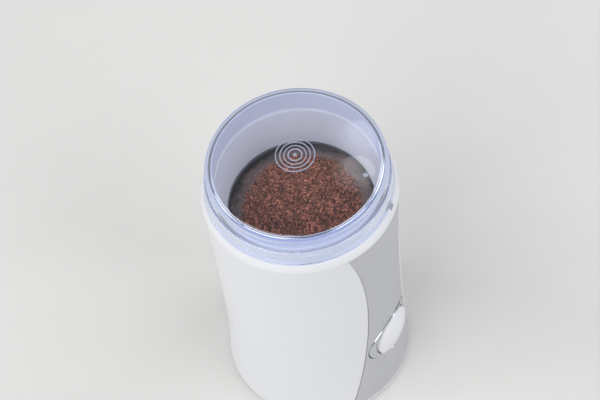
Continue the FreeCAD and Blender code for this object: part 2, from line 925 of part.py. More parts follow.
def bowl_carrier():
    inner = bowl_radius + bowl_wall + carrier_clearance
    outer = inner + carrier_wall
    cup = ring(inner, outer, carrier_base, carrier_top)
    floor = ring(seal_radius + seat_gap, outer, carrier_base, carrier_base_top)
    flange = ring(inner, carrier_flange_radius, carrier_top - carrier_flange, carrier_top)
    shape = fused([cup, floor, flange])
    for hole in spread(rod(carrier_screw_hole, carrier_base, carrier_top + 1, 0, boss_circle), boss_count):
        shape = shape.cut(hole)
    legs_low = interlock_shelf
    cradle_inner = interlock_switch_inner - cradle_gap
    half = switch_length / 2 + switch_gap
    legs = []
    for side in (-1, 1):
        leg = block((half, half + cradle_leg), (-(interlock_switch_inner + switch_width), -cradle_inner),
                    (legs_low, carrier_base + carrier_floor / 2))
        if side < 0:
            leg = leg.mirror(origin, V(1, 0, 0))
        legs.append(spun(leg, interlock_turn))
    shelf = interlock_block(2 * (half + cradle_leg), (cradle_inner, interlock_switch_inner + switch_width),
                            (legs_low, legs_low + cradle_shelf))
    seat = interlock_block(slide_width, (cradle_inner, slide_radius + slide_thickness),
                           (legs_low, legs_low + cradle_shelf))
    shape = fused([shape] + legs + [shelf, seat])
    slot = interlock_block(slide_width + 2 * slot_clear, (slide_radius - slot_clear, 2 * slide_radius),
                           (carrier_top - 2 * carrier_flange, carrier_top + 1))
    shape = shape.cut(slot)
    for x, y in mount_places():
        shape = shape.cut(rod(mount_screw_radius + bolt_clearance, carrier_base - 1, carrier_base_top + 1,
                              x, y))
        shape = shape.cut(rod(mount_screw_head + bolt_clearance, carrier_base_top - mount_screw_head_height,
                              carrier_base_top + 1, x, y))
    return shape.removeSplitter()


def carrier_screws():
    screws = []
    under = carrier_top - carrier_flange
    for i in range(boss_count):
        head = rod(boss_radius, under - carrier_screw_head_height, under, 0, boss_circle)
        shank = rod(carrier_screw_radius, under - past, carrier_top + boss_height - 2 * past, 0, boss_circle)
        screws.append(spun(head.fuse(shank).removeSplitter(), 360.0 * i / boss_count))
    return screws


def shaft_seal():
    top = bowl_floor + bowl_dome_height
    hole = shaft_radius + seal_lip
    return turned((hole, carrier_base), (seal_radius, carrier_base), (seal_radius, top),
                  (seal_flange_radius, top), (seal_flange_radius - 0.6, top + seal_flange, 0.5),
                  (hole + 1.0, top + seal_flange, 0.5), (hole, top + seal_flange - 1.0))


# Blade group, which turns with the motor shaft
def blade_arm(bend):
    """One arm of the blade: a flat root, then a bent and narrowed wing."""
    drop = (blade_span - blade_flat) * math.tan(math.radians(bend))
    low = blade_height
    profile = [V(0, 0, low), V(blade_flat, 0, low), V(blade_span, 0, low + drop),
               V(blade_span, 0, low + drop + blade_thickness), V(blade_flat, 0, low + blade_thickness),
               V(0, 0, low + blade_thickness)]
    bar = Part.Face(Part.makePolygon(profile + [profile[0]])).extrude(V(0, blade_width, 0))
    bar.translate(V(0, -blade_width / 2, 0))
    half = blade_width / 2
    plan = [V(0, -half, 0), V(blade_flat, -half, 0), V(blade_span, -blade_tip_leading, 0),
            V(blade_span, blade_tip_trailing, 0), V(blade_flat, half, 0), V(0, half, 0)]
    cutter = Part.Face(Part.makePolygon(plan + [plan[0]])).extrude(V(0, 0, 2 * blade_height))
    return bar.common(cutter)


def blade():
    arms = [blade_arm(-blade_bend_down), spun(blade_arm(blade_bend_up), 180)]
    whole = fused(arms)
    return whole.cut(rod(shaft_radius + shaft_hole, blade_height - past, blade_top + past))


def blade_hub():
    return turned((shaft_radius + shaft_hole, blade_height - hub_height),
                  (hub_radius, blade_height - hub_height),
                  (hub_radius, blade_height, hub_edge), (shaft_radius + shaft_hole, blade_height))


def blade_washer():
    return ring(shaft_radius + shaft_hole, washer_radius, blade_top, nut_bottom)


def blade_nut():
    radius = nut_across / math.sqrt(3)
    points = [V(radius * math.cos(math.radians(60 * i)), radius * math.sin(math.radians(60 * i)), nut_bottom)
              for i in range(7)]
    prism = Part.Face(Part.makePolygon(points)).extrude(V(0, 0, nut_height))
    low = nut_bottom - past
    bevel = turned((0, low), (radius, low), (radius, nut_top - nut_edge), (radius - nut_edge, nut_top),
                   (0, nut_top))
    return prism.common(bevel).cut(rod(shaft_radius + shaft_hole, low, nut_top + past))


def motor_shaft():
    low = lower_plate_bottom - bearing_hub_drop - shaft_pass
    high = nut_top + shaft_overrun
    return turned((0, low), (shaft_radius, low, hub_edge), (shaft_radius, high, hub_edge), (0, high))


def fan():
    disc = ring(shaft_radius + shaft_hole, fan_radius, fan_bottom, fan_bottom + fan_disc)
    hub = ring(shaft_radius + shaft_hole, fan_hub_radius, fan_bottom, fan_bottom + fan_height)
    vane = block((-fan_blade / 2, fan_blade / 2), (fan_hub_radius - past, fan_radius),
                 (fan_bottom, fan_bottom + fan_height))
    vane.rotate(V(0, fan_hub_radius, 0), axis_z, fan_blade_lean)
    rim = rod(fan_radius, fan_bottom, fan_bottom + fan_height)
    return fused([disc, hub] + spread(vane.common(rim), fan_blade_count))


def armature_core():
    core = ring(shaft_radius + shaft_hole, bore_radius - air_gap, core_bottom, core_top)
    radius = bore_radius - air_gap
    slot = block((-slot_width / 2, slot_width / 2), (radius - slot_depth, radius + 1),
                 (core_bottom - 1, core_top + 1))
    return core.cut(fused(spread(slot, slot_count)))


def armature_windings():
    radius = bore_radius - air_gap
    half = slot_width / 2 - slot_clearance
    bar = block((-half, half), (radius - slot_depth + slot_clearance, radius - slot_clearance),
                (core_bottom - past, core_top + past))
    ends = []
    for low, high in ((core_bottom - winding_height, core_bottom - seat_gap),
                      (core_top + seat_gap, core_top + winding_height)):
        ends.append(turned((winding_inner, low), (winding_outer, low, winding_edge),
                           (winding_outer, high, winding_edge),
                           (winding_inner, high)))
    lead = ring(winding_inner, commutator_radius - bar_groove,
                commutator_bottom + commutator_length + seat_gap,
                core_bottom - winding_height + winding_edge)
    return fused(ends + [lead] + spread(bar, slot_count))


def commutator():
    top = commutator_bottom + commutator_length
    body = ring(shaft_radius + shaft_hole, commutator_radius, commutator_bottom, top)
    riser = ring(commutator_radius - 1, riser_radius, top - riser_height, top)
    body = body.fuse(riser)
    gap = block((-bar_gap / 2, bar_gap / 2), (commutator_radius - bar_groove, riser_radius + 1),
                (commutator_bottom - 1, top + 1))
    return body.cut(fused(spread(gap, bar_count)))


# Stator and brackets
def stator_core():
    core = rounded_block(core_half_x, core_half_y, core_corner, core_bottom, core_top)
    core = core.cut(rod(bore_radius, core_bottom - 1, core_top + 1))
    for sx in (-1, 1):
        for sy in (-1, 1):
            window = block(tuple(sorted(sx * x for x in window_x)), tuple(sorted(sy * y for y in window_y)),
                           (core_bottom - 1, core_top + 1))
            core = core.cut(window)
    for hole in four_corners(lambda x, y: rod(bolt_radius + bolt_clearance, 0, 2 * core_top, x, y), bolt_x,
                             bolt_y):
        core = core.cut(hole)
    return core


def field_coils():
    low = core_bottom - coil_overhang
    high = core_top + coil_overhang
    coils = []
    for side in (-1, 1):
        xs = tuple(sorted(side * x for x in coil_x))
        loop = block(xs, (-coil_y[1], coil_y[1]), (low, high))
        long_edges = [e for e in loop.Edges if abs(e.tangentAt(e.FirstParameter).x) > 0.9]
        loop = loop.makeFillet(coil_corner, long_edges)
        hole = block(xs, (-coil_y[0], coil_y[0]), (core_bottom - seat_gap, core_top + seat_gap))
        coils.append(loop.cut(hole))
    return coils


def bearing_pocket(plate, centre_low, centre_high):
    return plate.cut(rod(bearing_radius + bearing_fit, centre_low, centre_high))


def lower_bracket():
    low = lower_plate_bottom
    high = lower_plate_top
    plate = rounded_block(core_half_x, core_half_y, core_corner, low, high)
    plate = plate.fuse(rod(bearing_hub_radius, low - bearing_hub_drop, high))
    legs = four_corners(lambda x, y: rod(leg_radius, low, core_bottom, x, y), bolt_x, bolt_y)
    size = brush_size / 2 + brush_clearance + holder_wall
    pillars = []
    for side in (-1, 1):
        xs = tuple(sorted(side * x for x in pillar_x))
        pillar = block(xs, (-pillar_half_y, pillar_half_y), (low, brush_height + size + pillar_cap))
        pillars.append(pillar)
    shape = fused([plate] + legs + pillars)
    tunnel = block((-holder_end, holder_end), (-size - brush_clearance, size + brush_clearance),
                   (brush_height - size - brush_clearance, brush_height + size + brush_clearance))
    shape = shape.cut(tunnel)
    shape = bearing_pocket(shape, low - bearing_hub_drop + bearing_seat, high + past)
    shape = shape.cut(rod(shaft_radius + shaft_pass, 0, high + past))
    for hole in four_corners(lambda x, y: rod(bolt_radius + bolt_clearance, 0, core_top, x, y), bolt_x,
                             bolt_y):
        shape = shape.cut(hole)
    return shape.removeSplitter()


def upper_bracket():
    low = upper_plate_bottom
    high = upper_plate_top
    plate = rounded_block(core_half_x, core_half_y, core_corner, low, high)
    plate = plate.fuse(rod(bearing_hub_radius, low - bearing_seat, high + upper_hub_rise))
    legs = four_corners(lambda x, y: rod(leg_radius, core_top, high, x, y), bolt_x, bolt_y)
    shape = fused([plate] + legs)
    shape = bearing_pocket(shape, low - bearing_seat - past, high + bearing_cover)
    shape = shape.cut(rod(shaft_radius + shaft_pass, low - bearing_seat, high + upper_hub_rise + past))
    for hole in four_corners(lambda x, y: rod(bolt_radius + bolt_clearance, 0, high - past, x, y), bolt_x,
                             bolt_y):
        shape = shape.cut(hole)
    for x, y in mount_places():
        shape = shape.cut(rod(mount_screw_radius + bolt_clearance, low - 1, high + 1, x, y))
    return shape.removeSplitter()


def bearing(low, high):
    hole = shaft_radius + shaft_clearance
    return turned((hole, low), (bearing_radius, low, bearing_edge), (bearing_radius, high, bearing_edge),
                  (hole, high))


def lower_bearing():
    low = lower_plate_bottom - bearing_hub_drop + bearing_seat
    return bearing(low, low + bearing_length - cradle_gap)


def upper_bearing():
    return bearing(upper_plate_bottom - bearing_seat + cradle_gap, upper_plate_top + bearing_cover)


def bearing_clip(low):
    """Star-shaped spring washer that holds a bearing in its pocket."""
    disc = ring(clip_inner, bearing_hub_radius - clip_rim, low, low + clip_thickness)
    notch = block((-clip_notch / 2, clip_notch / 2), (0, bearing_radius), (low - past, low + 2 * past))
    return disc.cut(fused(spread(notch, clip_notch_count)))


def lower_bearing_clip():
    return bearing_clip(lower_plate_top)


def upper_bearing_clip():
    return bearing_clip(upper_plate_bottom - bearing_seat - clip_thickness)


def motor_bolts():
    def bolt(x, y):
        head = rod(bolt_head, lower_plate_bottom - bolt_head_height, lower_plate_bottom, x, y)
        shank = rod(bolt_radius, lower_plate_bottom - past, upper_plate_top - bolt_end_cover, x, y)
        return head.fuse(shank).removeSplitter()

    return four_corners(bolt, bolt_x, bolt_y)


def mount_places():
    return [(sx * mount_x, sy * mount_y) for sx in (-1, 1) for sy in (-1, 1)]


def rubber_mounts():
    mounts = []
    for x, y in mount_places():
        hole = mount_screw_radius + bolt_clearance
        body = turned((hole, upper_plate_top), (mount_radius, upper_plate_top, mount_edge),
                      (mount_radius, carrier_base, mount_edge), (hole, carrier_base))
        body.translate(V(x, y, 0))
        mounts.append(body)
    return mounts


def mount_screws():
    screws = []
    for x, y in mount_places():
        seat = carrier_base_top - mount_screw_head_height
        head = rod(mount_screw_head, seat, carrier_base_top - seat_gap, x, y)
        shank = rod(mount_screw_radius, upper_plate_bottom + seat_gap, seat + mount_screw_head_height / 2,
                    x, y)
        screws.append(head.fuse(shank).removeSplitter())
    return screws


# Brushes
def brush_pair(make):
    piece = make()
    return [piece, spun(piece, 180)]


def carbon_brushes():
    def brush():
        half = brush_size / 2
        body = block((0, brush_end), (-half, half), (brush_height - half, brush_height + half))
        return body.cut(rod(commutator_radius + brush_clearance, 0, core_bottom))

    return brush_pair(brush)


def brush_holders():
    def holder():
        inner = brush_size / 2 + brush_clearance
        outer = inner + holder_wall
        body = block((holder_start, holder_end), (-outer, outer),
                     (brush_height - outer, brush_height + outer))
        return body.cut(block((0, holder_end + 1), (-inner, inner),
                              (brush_height - inner, brush_height + inner)))

    return brush_pair(holder)


def brush_springs():
    def spring():
        length = holder_end - brush_end - 2 * seat_gap
        shape = coil(brush_spring_radius, brush_spring_wire, brush_spring_turns, length)
        shape.rotate(origin, V(0, 1, 0), 90)
        shape.translate(V(brush_end + seat_gap, 0, brush_height))
        return shape

    return brush_pair(spring)


def brush_caps():
    def cap():
        outer = brush_size / 2 + brush_clearance + holder_wall
        body = block((holder_end, holder_end + cap_thickness), (-outer, outer),
                     (brush_height - outer, brush_height + outer))
        return body.makeFillet(cap_edge,
                               [e for e in body.Edges if abs(e.tangentAt(e.FirstParameter).x) > 0.9])

    return brush_pair(cap)


# Interlock
def interlock_slide():
    radii = (slide_radius, slide_radius + slide_thickness)
    bar = interlock_block(slide_width, radii, (slide_bottom, slide_top))
    head = interlock_block(slide_width, (slide_radius, slide_head_radius),
                           (slide_top - slide_head, slide_top))
    foot = interlock_block(slide_width, (slide_foot_inner, radii[1]),
                           (slide_bottom, slide_bottom + slide_foot))
    return fused([bar, head, foot])


def interlock_switch():
    body = microswitch(interlock_travel)
    body.translate(V(0, 0, interlock_face))
    body.translate(V(0, -(interlock_switch_inner + switch_width / 2), 0))
    return spun(body, interlock_turn)


def interlock_plunger():
    high = slide_bottom - seat_gap
    body = rod(plunger_radius, high - plunger_length, high, 0, -(interlock_switch_inner + switch_width / 2))
    return spun(body, interlock_turn)


def interlock_spring():
    low = interlock_shelf + cradle_shelf + seat_gap
    spring = coil(interlock_spring_radius, interlock_spring_wire, interlock_spring_turns,
                  slide_bottom - seat_gap - low)
    spring.translate(V(0, interlock_spring_inset - slide_radius, low))
    return spun(spring, interlock_turn)


# Base
def foot_places():
    reach = foot_circle / math.sqrt(2)
    return [(sx * reach, sy * reach) for sx in (-1, 1) for sy in (-1, 1)]


def base_cover():
    rim = base_radius + seat_gap
    spigot = body_radius(shell_bottom) - wall - spigot_gap
    shape = turned((0, foot_height), (rim, foot_height, body_edge), (rim, shell_bottom),
                   (spigot, shell_bottom),
                   (spigot - spigot_draft, shell_bottom + spigot_height),
                   (spigot - spigot_wall, shell_bottom + spigot_height),
                   (spigot - spigot_wall, floor_top), (0, floor_top))
    shape = shape.fuse(ring(cushion_inner + cushion_post_wall, cushion_radius, floor_top - past,
                            cushion_post_top))
    vent = block((-vent_width / 2, vent_width / 2), (vent_inner, vent_outer),
                 (foot_height - 1, floor_top + 1))
    shape = shape.cut(fused(spread(vent, vent_count, 180.0 / vent_count)))
    for place in base_places():
        shape = shape.cut(rod(base_screw_radius + bolt_clearance, 0, floor_top + past, place.x, place.y))
        shape = shape.cut(rod(base_screw_head + bolt_clearance, 0, foot_height + base_screw_recess, place.x,
                              place.y))
    for x, y in foot_places():
        shape = shape.cut(rod(foot_plug_radius + seat_gap, 0, floor_top + 1, x, y))
    posts = []
    saddle = cord_height - cord_bore
    posts.append(block((-clamp_half_length, clamp_half_length),
                       (clamp_place - clamp_width / 2, clamp_place + clamp_width / 2),
                       (floor_top - past, saddle)))
    for side in (-1, 1):
        posts.append(rod(clamp_column_radius, saddle - 1, cord_height + cord_bore, side * clamp_screw_place,
                         clamp_place))
    shape = fused([shape] + posts)
    for side in (-1, 1):
        shape = shape.cut(rod(clamp_screw_radius + seat_gap, saddle, cord_height + cord_bore + 1,
                              side * clamp_screw_place, clamp_place))
    room = rod_along(gland_flange_radius + gland_room, V(0, clamp_place + clamp_width / 2 + past,
                                                         cord_height),
                     V(0, spigot + past, cord_height))
    return shape.cut(room).removeSplitter()


def base_screws():
    screws = []
    seat = foot_height + base_screw_recess
    for place in base_places():
        head = rod(base_screw_head, seat - base_screw_head_height, seat, place.x, place.y)
        shank = rod(base_screw_radius, seat - past, base_boss_top - base_screw_spare, place.x, place.y)
        screws.append(head.fuse(shank).removeSplitter())
    return screws


def rubber_feet():
    feet = []
    for x, y in foot_places():
        body = turned((0, 0), (foot_radius, 0, foot_edge), (foot_radius, foot_height),
                      (foot_plug_radius, foot_height),
                      (foot_plug_radius, floor_top), (foot_head_radius, floor_top),
                      (foot_plug_radius - foot_edge, floor_top + foot_head), (0, floor_top + foot_head))
        body.translate(V(x, y, 0))
        feet.append(body)
    return feet


def lower_cushion():
    low = cushion_post_top
    high = lower_plate_bottom - bearing_hub_drop
    return turned((cushion_inner, low), (cushion_radius, low, cushion_edge),
                  (cushion_radius, high, cushion_edge),
                  (cushion_inner, high))


# Cord entry and electrical pieces
def cord_gland():
    inside = body_radius(cord_height) - wall - gland_inner_gap
    lip = gland_radius + gland_lip
    tube = turned((cord_bore, inside - gland_inner_flange), (lip, inside - gland_inner_flange, foot_edge),
                  (lip, inside), (gland_radius, inside), (gland_radius, button_apex - past),
                  (cord_bore, button_apex - past))
    flange = turned((cord_bore, inside), (gland_flange_radius, inside),
                    (gland_flange_radius, button_apex, gland_edge),
                    (cord_bore, button_apex))
    for piece in (tube, flange):
        piece.rotate(origin, V(1, 0, 0), -90)
        piece.translate(V(0, 0, cord_height))
    flange = flange.cut(body_core(-seat_gap / 2, shell_bottom, 2 * cord_height))
    return fused([tube, flange])


def cord_clamp():
    low = cord_height + cord_bore
    bar = block((-clamp_half_length, clamp_half_length),
                (clamp_place - clamp_width / 2, clamp_place + clamp_width / 2), (low, low + clamp_thickness))
    for side in (-1, 1):
        bar = bar.cut(rod(clamp_screw_radius + seat_gap, 0, low + clamp_thickness + 1,
                          side * clamp_screw_place,
                          clamp_place))
    return bar


def clamp_screws():
    top = cord_height + cord_bore + clamp_thickness
    screws = []
    for side in (-1, 1):
        x = side * clamp_screw_place
        head = rod(clamp_screw_head, top, top + clamp_screw_head_height, x, clamp_place)
        shank = rod(clamp_screw_radius, cord_height - cord_bore + past / 2, top + past, x, clamp_place)
        screws.append(head.fuse(shank).removeSplitter())
    return screws


def terminal_block():
    body = block(terminal_x, (-terminal_half_y, terminal_half_y), (floor_top, floor_top + terminal_height))
    pitch = 2 * terminal_half_y / terminal_count
    for i in range(terminal_count):
        y = (i + 0.5) * pitch - terminal_half_y
        body = body.cut(rod(terminal_hole, floor_top + terminal_height / 2,
                            floor_top + terminal_height + past,
                            sum(terminal_x) / 2, y))
    return body


def suppression_capacitor():
    side = base_radius - capacitor_inset
    body = block((-side, capacitor_width - side), (-capacitor_half_y, capacitor_half_y),
                 (floor_top, floor_top + capacitor_height))
    return body.makeFillet(capacitor_edge, body.Edges)


def thermal_cutout():
    high = core_bottom - coil_overhang - seat_gap
    body = block((-coil_x[1], -coil_x[0]), (-cutout_half_y, cutout_half_y), (high - cutout_height, high))
    return body.makeFillet(cutout_edge, [e for e in body.Edges if abs(e.tangentAt(e.FirstParameter).y) > 0.9])


def main():
    os.makedirs("parts", exist_ok=True)
    for make in (lid, upper_collar, hopper_sleeve, grinding_bowl, bowl_gasket, bowl_carrier, carrier_screws,
                 shaft_seal, blade, blade_hub, blade_washer, blade_nut, housing, housing_foot, side_panel,
                 button_bezel, button, button_spring, switch_holder, power_switch, power_switch_plunger, switch_screws,
                 interlock_slide,
                 interlock_spring, interlock_switch, interlock_plunger, rubber_mounts, mount_screws,
                 upper_bracket, upper_bearing, upper_bearing_clip, fan, motor_shaft, stator_core, field_coils,
                 armature_core, armature_windings, commutator, carbon_brushes, brush_holders, brush_springs,
                 brush_caps, lower_bracket, lower_bearing, lower_bearing_clip, motor_bolts, base_cover,
                 base_screws, rubber_feet, lower_cushion, cord_gland, cord_clamp, clamp_screws,
                 terminal_block,
                 suppression_capacitor, thermal_cutout):
        export(make.__name__, make())


main()
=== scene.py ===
import json
import math

import bpy
import numpy as np
from bpy.props import (BoolProperty, FloatProperty, FloatVectorProperty, IntProperty,
                       PointerProperty)
from mathutils import Matrix, Vector

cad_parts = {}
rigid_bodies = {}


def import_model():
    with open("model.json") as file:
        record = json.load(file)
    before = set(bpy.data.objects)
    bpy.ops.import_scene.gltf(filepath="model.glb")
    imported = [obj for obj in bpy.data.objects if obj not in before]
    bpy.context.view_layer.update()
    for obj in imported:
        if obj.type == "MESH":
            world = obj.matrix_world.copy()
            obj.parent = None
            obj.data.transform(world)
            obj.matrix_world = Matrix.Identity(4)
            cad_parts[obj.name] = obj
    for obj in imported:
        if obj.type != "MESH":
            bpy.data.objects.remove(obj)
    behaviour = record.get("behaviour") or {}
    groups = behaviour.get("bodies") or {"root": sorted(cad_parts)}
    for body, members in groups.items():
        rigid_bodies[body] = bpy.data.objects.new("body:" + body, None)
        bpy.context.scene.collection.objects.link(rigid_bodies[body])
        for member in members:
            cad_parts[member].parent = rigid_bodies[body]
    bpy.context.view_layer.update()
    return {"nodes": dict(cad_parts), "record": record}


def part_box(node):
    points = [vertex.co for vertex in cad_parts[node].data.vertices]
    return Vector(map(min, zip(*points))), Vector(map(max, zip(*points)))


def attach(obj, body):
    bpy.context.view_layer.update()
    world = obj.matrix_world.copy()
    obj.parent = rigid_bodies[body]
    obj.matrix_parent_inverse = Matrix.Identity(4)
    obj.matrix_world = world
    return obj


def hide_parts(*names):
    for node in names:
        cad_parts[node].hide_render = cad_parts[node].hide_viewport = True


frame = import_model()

bl_info = {
    "name": "Spice grinder",
    "version": (1, 0, 0),
    "blender": (4, 5, 0),
    "location": "3D View > Sidebar > Grinder",
    "description": "Builds the surfaces, finishes and studio of an electric spice grinder",
    "category": "Add Mesh",
}

MM = 0.001
BASE_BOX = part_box("base_cover")
HOUSING_BOX = (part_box("housing_foot")[0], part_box("housing")[1])
LID_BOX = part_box("lid")
SLEEVE_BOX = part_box("hopper_sleeve")
COLLAR_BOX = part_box("upper_collar")
BUTTON_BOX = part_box("button")
GLAND_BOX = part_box("cord_gland")
GATE_MARK = (6.3, -31.9)
INTERLOCK_TURN = math.radians(11)
SCREW_TURNS = (-90, 30, 150)
SCREW_CIRCLE = 37.3 * MM
FOOT_CIRCLE = 33 * MM
CORD_HEIGHT = 14 * MM
BEZEL_TUBE = 14 * MM
CUP_STEP = 151 * MM
GRAINS_MIDDLE = (-3 * MM, -2 * MM)


def length(name, text, millimetres):
    return FloatProperty(name=name, description=text, default=millimetres * MM, min=0.0,
                         precision=5, unit="LENGTH")


def measured(name, text, metres):
    return FloatProperty(name=name, description=text, default=float(metres), min=0.0,
                         precision=5, unit="LENGTH")


def colour(name, text, value):
    return FloatVectorProperty(name=name, description=text, default=value, size=3, min=0.0,
                               max=1.0, subtype="COLOR")


class GRINDER_PG_body(bpy.types.PropertyGroup):
    shell_bottom: measured("Shell bottom", "Height of the housing's lower edge", HOUSING_BOX[0][2])
    shell_top: measured("Shell top", "Height of the housing's upper edge", HOUSING_BOX[1][2])
    base_radius: length("Base radius", "Radius of the housing at its lower edge", 46.2)
    waist_radius: length("Waist radius", "Radius of the housing where it is narrowest", 44.0)
    waist_height: length("Waist height", "Height of the narrowest place", 62.0)
    top_radius: length("Top radius", "Radius of the housing at its upper edge", 44.7)
    wall: length("Wall", "Thickness of the housing's wall", 2.4)
    collar_radius: length("Collar radius", "Radius of the collar over the housing's edge", 45.3)
    collar_shelf: length("Collar shelf", "Height of the shelf that the lid stands on", 146.0)
    collar_shoulder: length("Collar shoulder", "Radius of the shelf's outer edge", 43.6)
    neck_radius: length("Neck radius", "Radius of the neck that the lid fits over", 40.4)
    neck_top: measured("Neck top", "Height of the neck's rim", COLLAR_BOX[1][2])
    skirt_bottom: measured("Skirt bottom", "Height of the collar's lower edge", COLLAR_BOX[0][2])


class GRINDER_PG_panel(bpy.types.PropertyGroup):
    foot_half_width: length("Foot half width", "Half width of the side panel at its foot", 28.6)
    waist_half_width: length("Waist half width", "Half width where the panel is narrowest", 14.9)
    head_half_width: length("Head half width", "Half width of the panel at its head", 22.8)
    waist_height: length("Waist height", "Height where the panel is narrowest", 88.0)
    thickness: length("Thickness", "Thickness of the panel", 1.1)
    gap: length("Gap", "Gap around the panel", 0.5)


class GRINDER_PG_button(bpy.types.PropertyGroup):
    height: length("Height", "Height of the button's centre", 44.5)
    radius: length("Radius", "Radius of the button", 12.6)
    apex: measured("Apex", "Distance of the button's crown from the axis", -BUTTON_BOX[0][1])
    crown: length("Crown", "Rise of the button's crown over its edge", 3.2)
    skirt: length("Skirt", "Depth of the button's skirt", 3.6)
    bezel_half_width: length("Bezel half width", "Half width of the oval bezel", 17.3)
    bezel_half_height: length("Bezel half height", "Half height of the oval bezel", 13.2)
    bezel_proud: length("Bezel proud", "How far the bezel stands over the panel", 0.5)


class GRINDER_PG_lid(bpy.types.PropertyGroup):
    height: measured("Height", "Height of the lid's crown", LID_BOX[1][2] - 0.35 * MM)
    crown_radius: length("Crown radius", "Radius of the gentle crown", 185.0)
    radius: length("Radius", "Outer radius of the lid's wall", 41.5)
    shoulder: length("Shoulder", "Radius of the rounding between crown and wall", 5.0)
    wall: length("Wall", "Thickness of the lid", 2.0)
    flange_bottom: length("Flange bottom", "Height of the flange's lower edge", 146.2)
    flange_top: length("Flange top", "Height of the flange's upper edge", 155.4)
    flange_radius: length("Flange radius", "Radius of the flange's lower edge", 43.2)
    ridge_rise: length("Ridge rise", "Height of the ring ridges over the crown", 0.35)


class GRINDER_PG_cup(bpy.types.PropertyGroup):
    rim: measured("Rim", "Height of the sleeve's rim", SLEEVE_BOX[1][2])
    bottom: measured("Bottom", "Height of the sleeve's lower edge", SLEEVE_BOX[0][2])
    radius: length("Radius", "Outer radius of the sleeve", 38.6)
    foot_radius: length("Foot radius", "Inner radius of the sleeve at its foot", 34.0)
    bowl_radius: length("Bowl radius", "Inner radius of the bowl", 33.6)
    bowl_floor: length("Bowl floor", "Height of the bowl's floor", 108.5)
    wall: length("Wall", "Thickness of the sheet steel", 0.8)


class GRINDER_PG_fill(bpy.types.PropertyGroup):
    shown: BoolProperty(name="Ground coffee", default=True,
                        description="Fill the cup with a heap of ground coffee")
    crest: length("Crest", "Height of the heap's highest place", 137.0)
    edge: length("Edge", "Height of the heap where it meets the wall", 125.5)
    grain: length("Grain", "Size of a coffee grain", 1.05)
    count: IntProperty(name="Grains", description="Number of loose grains on the heap",
                       default=6000, min=0)
    seed: IntProperty(name="Seed", description="Start of the random draws", default=11)


class GRINDER_PG_stage(bpy.types.PropertyGroup):
    eye: FloatVectorProperty(name="Camera", description="Place of the camera", size=3,
                             default=(-0.37222, -0.27158, 0.85072), subtype="XYZ", unit="LENGTH")
    aim: FloatVectorProperty(name="Aim", description="Place that the camera looks at", size=3,
                             default=(0.01150, 0.00911, 0.1095), subtype="XYZ", unit="LENGTH")
    roll: FloatProperty(name="Roll", description="Turn of the camera about its own view",
                        default=math.radians(7.894), unit="ROTATION")
    focal_length: FloatProperty(name="Focal length", description="Focal length in millimetres",
                                default=111.52, min=1.0)
    floor_colour: colour("Floor colour", "Colour of the floor", (0.735, 0.73, 0.715))
    world_colour: colour("World colour", "Colour of the light from all sides", (0.95, 0.97, 1.0))
    world_strength: FloatProperty(name="World strength", description="Light from all sides",
                                  default=0.3, min=0.0)
    key_strength: FloatProperty(name="Key strength", description="Power of the main soft light",
                                default=23.5, min=0.0, subtype="POWER")
    fill_strength: FloatProperty(name="Fill strength",
                                 description="Power of the front and back soft lights",
                                 default=16.5, min=0.0, subtype="POWER")
    round_strength: FloatProperty(name="Round light", description="Power of the small round light",
                                  default=0.4, min=0.0, subtype="POWER")


def sizes(group):
    return getattr(bpy.context.scene, "grinder_" + group)


# Surfaces
def unit(vectors):
    return vectors / np.linalg.norm(vectors, axis=-1, keepdims=True)


def rounded_path(corners, closed=True, steps=5):
    """Outline through corners (a, b, radius). Each corner with a radius becomes an arc that
    touches both of its sides, turned from its first to its last point about its centre, and
    one more point on each side beside the arc keeps that side straight."""
    path = []
    count = len(corners)
    for i, (a, b, radius) in enumerate(corners):
        here = np.array((a, b))
        if radius == 0 or (not closed and i in (0, count - 1)):
            path.append(here[None])
            continue
        back = unit(np.array(corners[i - 1][:2]) - here)
        ahead = unit(np.array(corners[(i + 1) % count][:2]) - here)
        half = math.acos(float(np.clip(back @ ahead, -1, 1))) / 2
        reach = radius / math.tan(half)
        middle = here + unit(back + ahead) * radius / math.sin(half)
        first = here + back * reach
        last = here + ahead * reach
        swing = np.linspace(0, 1, steps)[:, None]
        span = math.pi - 2 * half
        arc = (np.sin((1 - swing) * span) * (first - middle)
               + np.sin(swing * span) * (last - middle))
        hold = min(radius, reach) / 2
        path.append(np.vstack((first + back * hold, middle + arc / math.sin(span),
                               last + ahead * hold)))
    return np.vstack(path)


def grid_quads(rows, columns, wrap_rows, wrap_columns):
    """Four-cornered faces of a grid of points, numbered row by row."""
    i, j = np.meshgrid(np.arange(rows if wrap_rows else rows - 1),
                       np.arange(columns if wrap_columns else columns - 1), indexing="ij")
    below, above = i % rows, (i + 1) % rows
    here, there = j % columns, (j + 1) % columns
    return np.stack((below * columns + here, below * columns + there,
                     above * columns + there, above * columns + here), -1).reshape(-1, 4)


def outward(points, faces):
    """Faces turned about where the solid they close would have a negative volume."""
    a, b, c = points[faces[:, 0]], points[faces[:, 1]], points[faces[:, 2]]
    d = points[faces[:, -1]]
    volume = np.einsum("ij,ij->i", a, np.cross(b, c)) + np.einsum("ij,ij->i", a, np.cross(c, d))
    return faces if volume.sum() > 0 else faces[:, ::-1]


def new_object(name, data):
    made = bpy.data.objects.new(name, data)
    bpy.context.scene.collection.objects.link(made)
    return made


